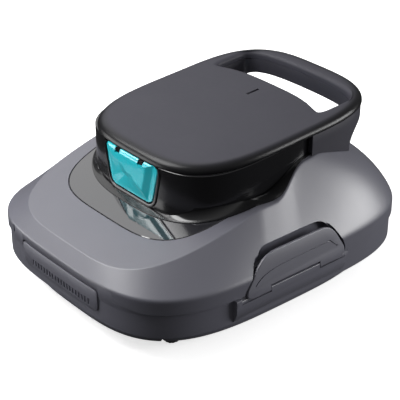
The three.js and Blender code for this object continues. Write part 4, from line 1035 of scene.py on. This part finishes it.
# ------------------------------------------------------------------ latches
class CLEANER_OT_latches(bpy.types.Operator):
    """Side latches: leaning plates with an arc groove, hung on a pin at the parting line"""

    bl_idname = "cleaner.latches"
    bl_label = "Side latches"

    def execute(self, context):
        for side, name in ((-1, "left_latch"), (1, "right_latch")):
            latch = self.latch(name + "_plate", side)
            finish_piece(latch, "casing satin", name, name)
        return {"FINISHED"}

    def latch(self, name, side):
        """A rounded plate with its groove, knuckle slot and pin hole, then leant about the pin by
        an angle a: x' = x cos a + z sin a, z' = z cos a - x sin a."""
        foot = PIVOT_Z - 1.4
        inner, outer = PIVOT_X - 1.6, PIVOT_X + 1.6
        outline = trapezium(LATCH_BOTTOM, LATCH_TOP, foot, foot + LATCH_HEIGHT, (17, 19, 15, 17))
        made = plate(name, outline, "x", inner, outer)
        soften(made, 1.0, 3)
        groove = self.groove_outline(foot)
        carve(made, "DIFFERENCE",
              plate("groove", groove, "x", outer - 0.8, outer + 2),
              block(inner - 5, outer + 5, LATCH_SLOT[0], LATCH_SLOT[1], foot - 5, PIVOT_Z + 5.4),
              rod("y", 1.15, LATCH_SLOT[0] - 7, LATCH_SLOT[1] + 7, (PIVOT_X, PIVOT_Z)))
        points = np.empty(len(made.data.vertices) * 3, np.float32)
        made.data.vertices.foreach_get("co", points)
        points = points.reshape(-1, 3) / MM - (PIVOT_X, 0, PIVOT_Z)
        c, s = np.cos(-LATCH_LEAN), np.sin(-LATCH_LEAN)
        turned = np.column_stack([points[:, 0] * c + points[:, 2] * s, points[:, 1],
                                  points[:, 2] * c - points[:, 0] * s]) + (PIVOT_X, 0, PIVOT_Z)
        made.data.vertices.foreach_set("co", (turned * MM).astype(np.float32).ravel())
        carve(made, "DIFFERENCE",
              block(0, HALF_WIDTH - BASE_INSET + 0.4, -300, 300, 0, PARTING_Z + 0.8))
        return mirrored(made, side)

    def groove_outline(self, foot):
        """A band of even width about a line that rises from the front corner, runs level at 60%
        of the latch's height and turns down behind."""
        t = np.linspace(0, 1, 60)
        y = mix(-66.0, 50.0, t)
        height = 25.0 - 13 * np.exp(-(y + 66) / 13) - 9 * smooth((y - 34) / 16) ** 2
        half = sizes().groove / MM / 2
        lower = np.column_stack([y, foot + height - half])
        upper = np.column_stack([y, foot + height + half])
        return np.vstack([lower, upper[::-1]])


# ------------------------------------------------------------------ tray and everything under it
def floor_ring(z, shrink=0.0):
    """Outline of the tray's floor."""
    return ring(284.0, -178.5, 178.5, 3.3, z, shrink=shrink)


class CLEANER_OT_tray(bpy.types.Operator):
    """Base tray: a bowl under the casing. Its outside runs from the floor's outline out to the
    casing's, its inside is the same 3 mm in, and blocks, wells and the mouth are added and cut"""

    bl_idname = "cleaner.tray"
    bl_label = "Base tray"

    def execute(self, context):
        inset = BASE_INSET
        turn = bezier(floor_ring(8.0, 5.0), floor_ring(8.0, 0.5), floor_ring(14.0, -0.5), 6)
        rows = turn + bezier(floor_ring(14.4, -0.6), floor_ring(24.0, -4.0),
                             case_ring(31.0, inset + 0.1), 8)
        rows += [case_ring(z, inset) for z in (34, 40, 48, 56)]
        rows += [case_ring(PARTING_Z - 0.6, inset), case_ring(PARTING_Z - 0.2, inset + 0.4)]
        rows += [case_ring(PARTING_Z - 0.2, inset + WALL)]
        rows += [case_ring(z, inset + WALL) for z in (48, 34)]
        rows += [case_ring(31.0, inset + WALL + 0.4), floor_ring(15.0, WALL + 1),
                 floor_ring(11.0, WALL + 6)]
        tray = loft("tray", rows)
        for end in (-1, 1):
            carve(tray, "UNION", self.grip_block(end))
            carve(tray, "DIFFERENCE",
                  *(block(x - 10, x + 10, end * WHEEL_Y - 20, end * WHEEL_Y + 20, 4, 37)
                    for x in (-WHEEL_X, WHEEL_X)))
        for side in (-1, 1):
            carve(tray, "UNION", self.hinge_block(side))
            carve(tray, "DIFFERENCE", self.latch_sweep(side))
        carve(tray, "DIFFERENCE", block(*MOUTH, 4, 14), block(*MOUTH_PLATE, 4, 7.6),
              *(rod("x", 2.6, -120, 120, (end * WHEEL_Y, WHEEL_RADIUS)) for end in (-1, 1)))
        finish_piece(tray, "casing satin", "base", "base_tray")
        return {"FINISHED"}

    def grip_block(self, end):
        """Raised block in the wall with a recess for the grip pad."""
        outline = [(-GRIP_RUN, PARTING_Z - 0.2), (-90, 36.0), (90, 36.0),
                   (GRIP_RUN, PARTING_Z - 0.2), (GRIP_HALF, GRIP_SHOULDER), (GRIP_HALF, GRIP_TOP),
                   (-GRIP_HALF, GRIP_TOP), (-GRIP_HALF, GRIP_SHOULDER)]
        made = plate("grip_block", outline, "y", *span(end, HALF_LENGTH - 22.5, HALF_LENGTH + 6))
        outer = loft("keep", [case_ring(20.0, 2.02), case_ring(56.0, 2.02), case_ring(61.0, 0.7),
                              case_ring(90.0, 0.7)])
        inner = loft("drop", [case_ring(10.0, 14), case_ring(100.0, 14)])
        carve(made, "INTERSECT", outer)
        carve(made, "DIFFERENCE", inner)
        lane = loft("lane", [case_ring(z, 1.4 + PAD_DEPTH) for z in (-10.0, 200.0)])
        across = (-66.6, 67.8)
        slot = plate("slot", trapezium(across, across, 42.1, 67.8, 5), "y", *span(end, 150, 220))
        carve(slot, "DIFFERENCE", lane)
        carve(made, "DIFFERENCE", slot)
        return soften(made, 0.7, 2)

    def hinge_block(self, side):
        """Flat panel under a latch that carries its pin."""
        made = block(HALF_WIDTH - 16, HALF_WIDTH + 1.2, *HINGE_PANEL, 30, PARTING_Z - 0.2)
        profile = rounded([(HALF_WIDTH - 15, 31), (HALF_WIDTH - 5, 31), (HALF_WIDTH + 1.0, 42),
                           (HALF_WIDTH + 1.3, PARTING_Z - 0.2), (HALF_WIDTH - 14, PARTING_Z - 0.2)],
                          (0.5, 3, 6, 1.2, 0.5))
        carve(made, "INTERSECT", plate("profile", profile, "y", -100, 80))
        soften(made, 1.0, 3)
        return mirrored(made, side)

    def latch_sweep(self, side):
        """Room for the latch's foot: two bays beside the knuckles, round the pin's line and open
        above it."""
        room = 3.0
        bays = ((LATCH_BOTTOM[0] - 1.2, LATCH_SLOT[0] + 0.8),
                (LATCH_SLOT[1] - 0.8, LATCH_BOTTOM[1] + 1.2))
        made, other = (rod("y", room, *bay, (PIVOT_X, PIVOT_Z)) for bay in bays)
        carve(made, "UNION", other)
        carve(made, "UNION", *(block(HALF_WIDTH - room, HALF_WIDTH + 6, *bay, PIVOT_Z, 70)
                               for bay in bays))
        return mirrored(made, side)


class CLEANER_OT_grip_pads(bpy.types.Operator):
    """Grip pads: strips in the casing's satin finish that follow the wall, with a row of short
    upright slots
    """

    bl_idname = "cleaner.grip_pads"
    bl_label = "Grip pads"

    def execute(self, context):
        count = sizes().ribs
        for end, name in ((-1, "front"), (1, "rear")):
            across = (-PAD_HALF, PAD_HALF)
            pad = plate("%s_grip" % name, trapezium(across, across, PAD_LOW, PAD_HIGH, 5), "y",
                        *span(end, 150, 220))
            carve(pad, "INTERSECT", loft("keep", [case_ring(0.0, 0.4), case_ring(120.0, 0.4)]))
            carve(pad, "DIFFERENCE", loft("drop", [case_ring(-10.0, 4.2), case_ring(150.0, 4.2)]))
            soften(pad, 0.8, 2)
            bars = [block(x - 1.1, x + 1.1, *span(end, 188, 205), 45, 52)
                    for x in np.linspace(-46, 52, count)]
            cutter = bars[0]
            for other in bars[1:]:
                carve(cutter, "UNION", other)
            carve(cutter, "DIFFERENCE", loft("bed", [case_ring(-20.0, 1.7), case_ring(170.0, 1.7)]))
            carve(pad, "DIFFERENCE", cutter)
            finish_piece(pad, "casing satin", "base", name + "_grip_pad")
        return {"FINISHED"}


class CLEANER_OT_tyres(bpy.types.Operator):
    """Tyres: rounded rings with ribs across, radius 18 - depth x (0.5 - 0.5 cos(24 a))^4"""

    bl_idname = "cleaner.tyres"
    bl_label = "Tyres"

    def execute(self, context):
        depth = sizes().tread / MM
        angle = TAU * np.arange(240) / 240
        rib = (0.5 - 0.5 * np.cos(24 * angle)) ** 4
        for end, y in (("front", -WHEEL_Y), ("rear", WHEEL_Y)):
            for side, x in (("left", -WHEEL_X), ("right", WHEEL_X)):
                rows = []
                for offset, radius in ((-8.5, 12.0), (-8.5, 16.2), (-8.0, 17.2), (-6.9, 17.9),
                                       (-3, WHEEL_RADIUS), (3, WHEEL_RADIUS), (6.9, 17.9),
                                       (8.0, 17.2),
                                       (8.5, 16.2), (8.5, 12.0)):
                    r = radius - depth * rib * (radius > 15)
                    rows.append(np.column_stack([x + offset + 0 * r, y + r * np.cos(angle),
                                                 WHEEL_RADIUS + r * np.sin(angle)]))
                name = "%s_%s" % (end, side)
                tyre = loft(name + "_tread", rows, loop=True)
                finish_piece(tyre, "tyre rubber", name + "_wheel",
                             name + "_tyre")
        return {"FINISHED"}


# ------------------------------------------------------------------ the frame's own pieces
KEPT = {
    "soft rubber": ("rim_seal", "front_sweeper", "rear_sweeper", "intake_flap", "charge_plug",
                    "shaft_seal"),
    "cover soft touch": ("power_button",),
    "hub nylon": ("front_left_wheel", "front_right_wheel", "rear_left_wheel", "rear_right_wheel"),
    "brushed steel": ("front_axle", "rear_axle", "intake_flap_pin", "left_latch_pin",
                      "right_latch_pin", "front_left_screw", "front_right_screw",
                      "rear_left_screw", "rear_right_screw", "motor_shaft", "motor_can"),
    "basket plastic": ("filter_basket",),
    "filter screen": ("filter_mesh",),
    "flap teal": ("impeller", "basket_lid"),
    "pod polish": ("front_flap_lugs", "rear_flap_lugs", "motor_housing", "impeller_duct"),
    "handle satin": ("charge_socket", "suction_plate", "suction_duct"),
    "smoked lamp lens": ("status_lamp",),
    "cell wrap": ("battery_pack",),
    "circuit board": ("control_board",),
    "closed-cell foam": ("front_float", "rear_float"),
}


class CLEANER_OT_kept_pieces(bpy.types.Operator):
    """Pieces kept from the working frame: each gets its finish and shades crisp at its edges"""

    bl_idname = "cleaner.kept_pieces"
    bl_label = "Kept pieces"

    def execute(self, context):
        for name, nodes in KEPT.items():
            for node in nodes:
                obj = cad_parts[node]
                coat(obj, name)
                crisp(obj)
        return {"FINISHED"}


# ------------------------------------------------------------------ stage
def soft_light(name, direction, distance, size, power):
    """An oblong soft light on a line from the cleaner, turned to face it."""
    lamp = bpy.data.lights.new(name, "AREA")
    lamp.shape = "RECTANGLE"
    lamp.size, lamp.size_y = size
    lamp.energy = power
    obj = bpy.data.objects.new(name, lamp)
    bpy.context.scene.collection.objects.link(obj)
    way = Vector(direction).normalized()
    obj.location = way * distance + Vector((0, 0, 0.09))
    obj.rotation_euler = way.to_track_quat("Z", "Y").to_euler()
    obj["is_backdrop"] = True


class CLEANER_OT_stage(bpy.types.Operator):
    """Studio: pale floor, soft lights, plain surround and the camera"""

    bl_idname = "cleaner.stage"
    bl_label = "Studio"

    def execute(self, context):
        scene = context.scene
        floor = plate("studio_floor", [(-6000, -6000), (6000, -6000), (6000, 6000), (-6000, 6000)],
                      "z", -20.0, -0.5)
        floor.data.materials.append(self.floor_finish())
        floor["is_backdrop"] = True
        floor.visible_glossy = False
        floor.visible_diffuse = False
        soft_light("key", (-0.668, 0.22, 0.71), 2.2, (1.6, 1.6), 9.0)
        soft_light("top", (-0.42, -0.52, 0.74), 1.0, (0.6, 0.6), 10.5)
        soft_light("front_fill", (-0.70, -0.71, -0.02), 2.0, (1.4, 0.9), 21.0)
        soft_light("rear_edge", (0.66, 0.72, 0.20), 1.9, (1.0, 0.7), 27.0)
        self.surround(scene)
        self.camera(scene)
        return {"FINISHED"}

    def floor_finish(self):
        """Pale matt floor, lit a little from within like a light table, so that shadows stay
        soft."""
        return moulded("studio_floor", colours().floor, 0.9, drift=0.01, bump=0,
                       emission_color=tuple(colours().floor), emission_strength=0.72)

    def surround(self, scene):
        """White seen straight on; as light, 0.05 from below to 0.5 overhead."""
        world = bpy.data.worlds.new("studio")
        world.use_nodes = True
        scene.world = world
        w = Wiring(world.node_tree)
        world.node_tree.nodes.clear()
        place = w.node("ShaderNodeTexCoord").outputs["Generated"]
        height = w.node("ShaderNodeSeparateXYZ", {0: place})
        rise = w.node("ShaderNodeMapRange", {"Value": height.outputs["Z"], "From Min": -0.1,
                                             "From Max": 0.9, "To Min": 0.05, "To Max": 0.5})
        seen = w.node("ShaderNodeLightPath").outputs["Is Camera Ray"]
        soft = w.node("ShaderNodeBackground", {"Strength": rise.outputs["Result"]})
        white = w.node("ShaderNodeBackground")
        both = w.node("ShaderNodeMixShader", {0: seen, 1: soft.outputs[0], 2: white.outputs[0]})
        w.node("ShaderNodeOutputWorld", {"Surface": both.outputs[0]})

    def camera(self, scene):
        """Looks down 29 degrees from 50 degrees round from the front, 1.43 m away."""
        turn, lift, distance = np.radians(49.789), np.radians(28.965), 1.4308
        back = Vector((np.sin(turn) * np.cos(lift), -np.cos(turn) * np.cos(lift), np.sin(lift)))
        lens = bpy.data.cameras.new("camera")
        lens.lens = 119.1
        lens.sensor_width = 36
        lens.dof.use_dof = False
        obj = bpy.data.objects.new("camera", lens)
        scene.collection.objects.link(obj)
        obj.location = Vector((0.02364, -0.02254, 0.0918)) + back * distance
        obj.rotation_euler = back.to_track_quat("Z", "Y").to_euler()
        scene.camera = obj
        scene.view_settings.view_transform = "Standard"
        obj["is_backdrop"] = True


class CLEANER_PT_panel(bpy.types.Panel):
    """Lists every step that builds the cleaner, with its sizes and colours"""

    bl_idname = "CLEANER_PT_panel"
    bl_label = "Pool cleaner"
    bl_space_type = "VIEW_3D"
    bl_region_type = "UI"
    bl_category = "Pool cleaner"

    def draw(self, context):
        for group in (context.scene.cleaner_sizes, context.scene.cleaner_colours):
            for key in group.__annotations__:
                self.layout.prop(group, key)
        for step in STEPS:
            self.layout.operator(step.bl_idname)


STEPS = (CLEANER_OT_finishes, CLEANER_OT_casing, CLEANER_OT_panel, CLEANER_OT_collar,
         CLEANER_OT_pod_wall, CLEANER_OT_window_frames, CLEANER_OT_flaps, CLEANER_OT_cover,
         CLEANER_OT_handle, CLEANER_OT_latches, CLEANER_OT_tray, CLEANER_OT_grip_pads,
         CLEANER_OT_tyres, CLEANER_OT_kept_pieces, CLEANER_OT_stage)
CLASSES = (CLEANER_PG_colours, CLEANER_PG_sizes, *STEPS, CLEANER_PT_panel)


def register():
    for cls in CLASSES:
        bpy.utils.register_class(cls)
    bpy.types.Scene.cleaner_colours = bpy.props.PointerProperty(type=CLEANER_PG_colours)
    bpy.types.Scene.cleaner_sizes = bpy.props.PointerProperty(type=CLEANER_PG_sizes)


def unregister():
    del bpy.types.Scene.cleaner_colours
    del bpy.types.Scene.cleaner_sizes
    for cls in reversed(CLASSES):
        bpy.utils.unregister_class(cls)


def main():
    """Builds the cleaner step by step."""
    register()
    for step in STEPS:
        group, name = step.bl_idname.split(".")
        result = getattr(getattr(bpy.ops, group), name)()
        if result != {"FINISHED"}:
            raise RuntimeError(step.bl_label)
    bpy.context.view_layer.update()
    {"cad": plain(cad_box), "visual": plain(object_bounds())}


def plain(value):
    """Lists of plain numbers, from vectors, arrays or tuples."""
    return [plain(v) for v in value] if hasattr(value, "__len__") else float(value)


if __name__ == "__main__":
    main()
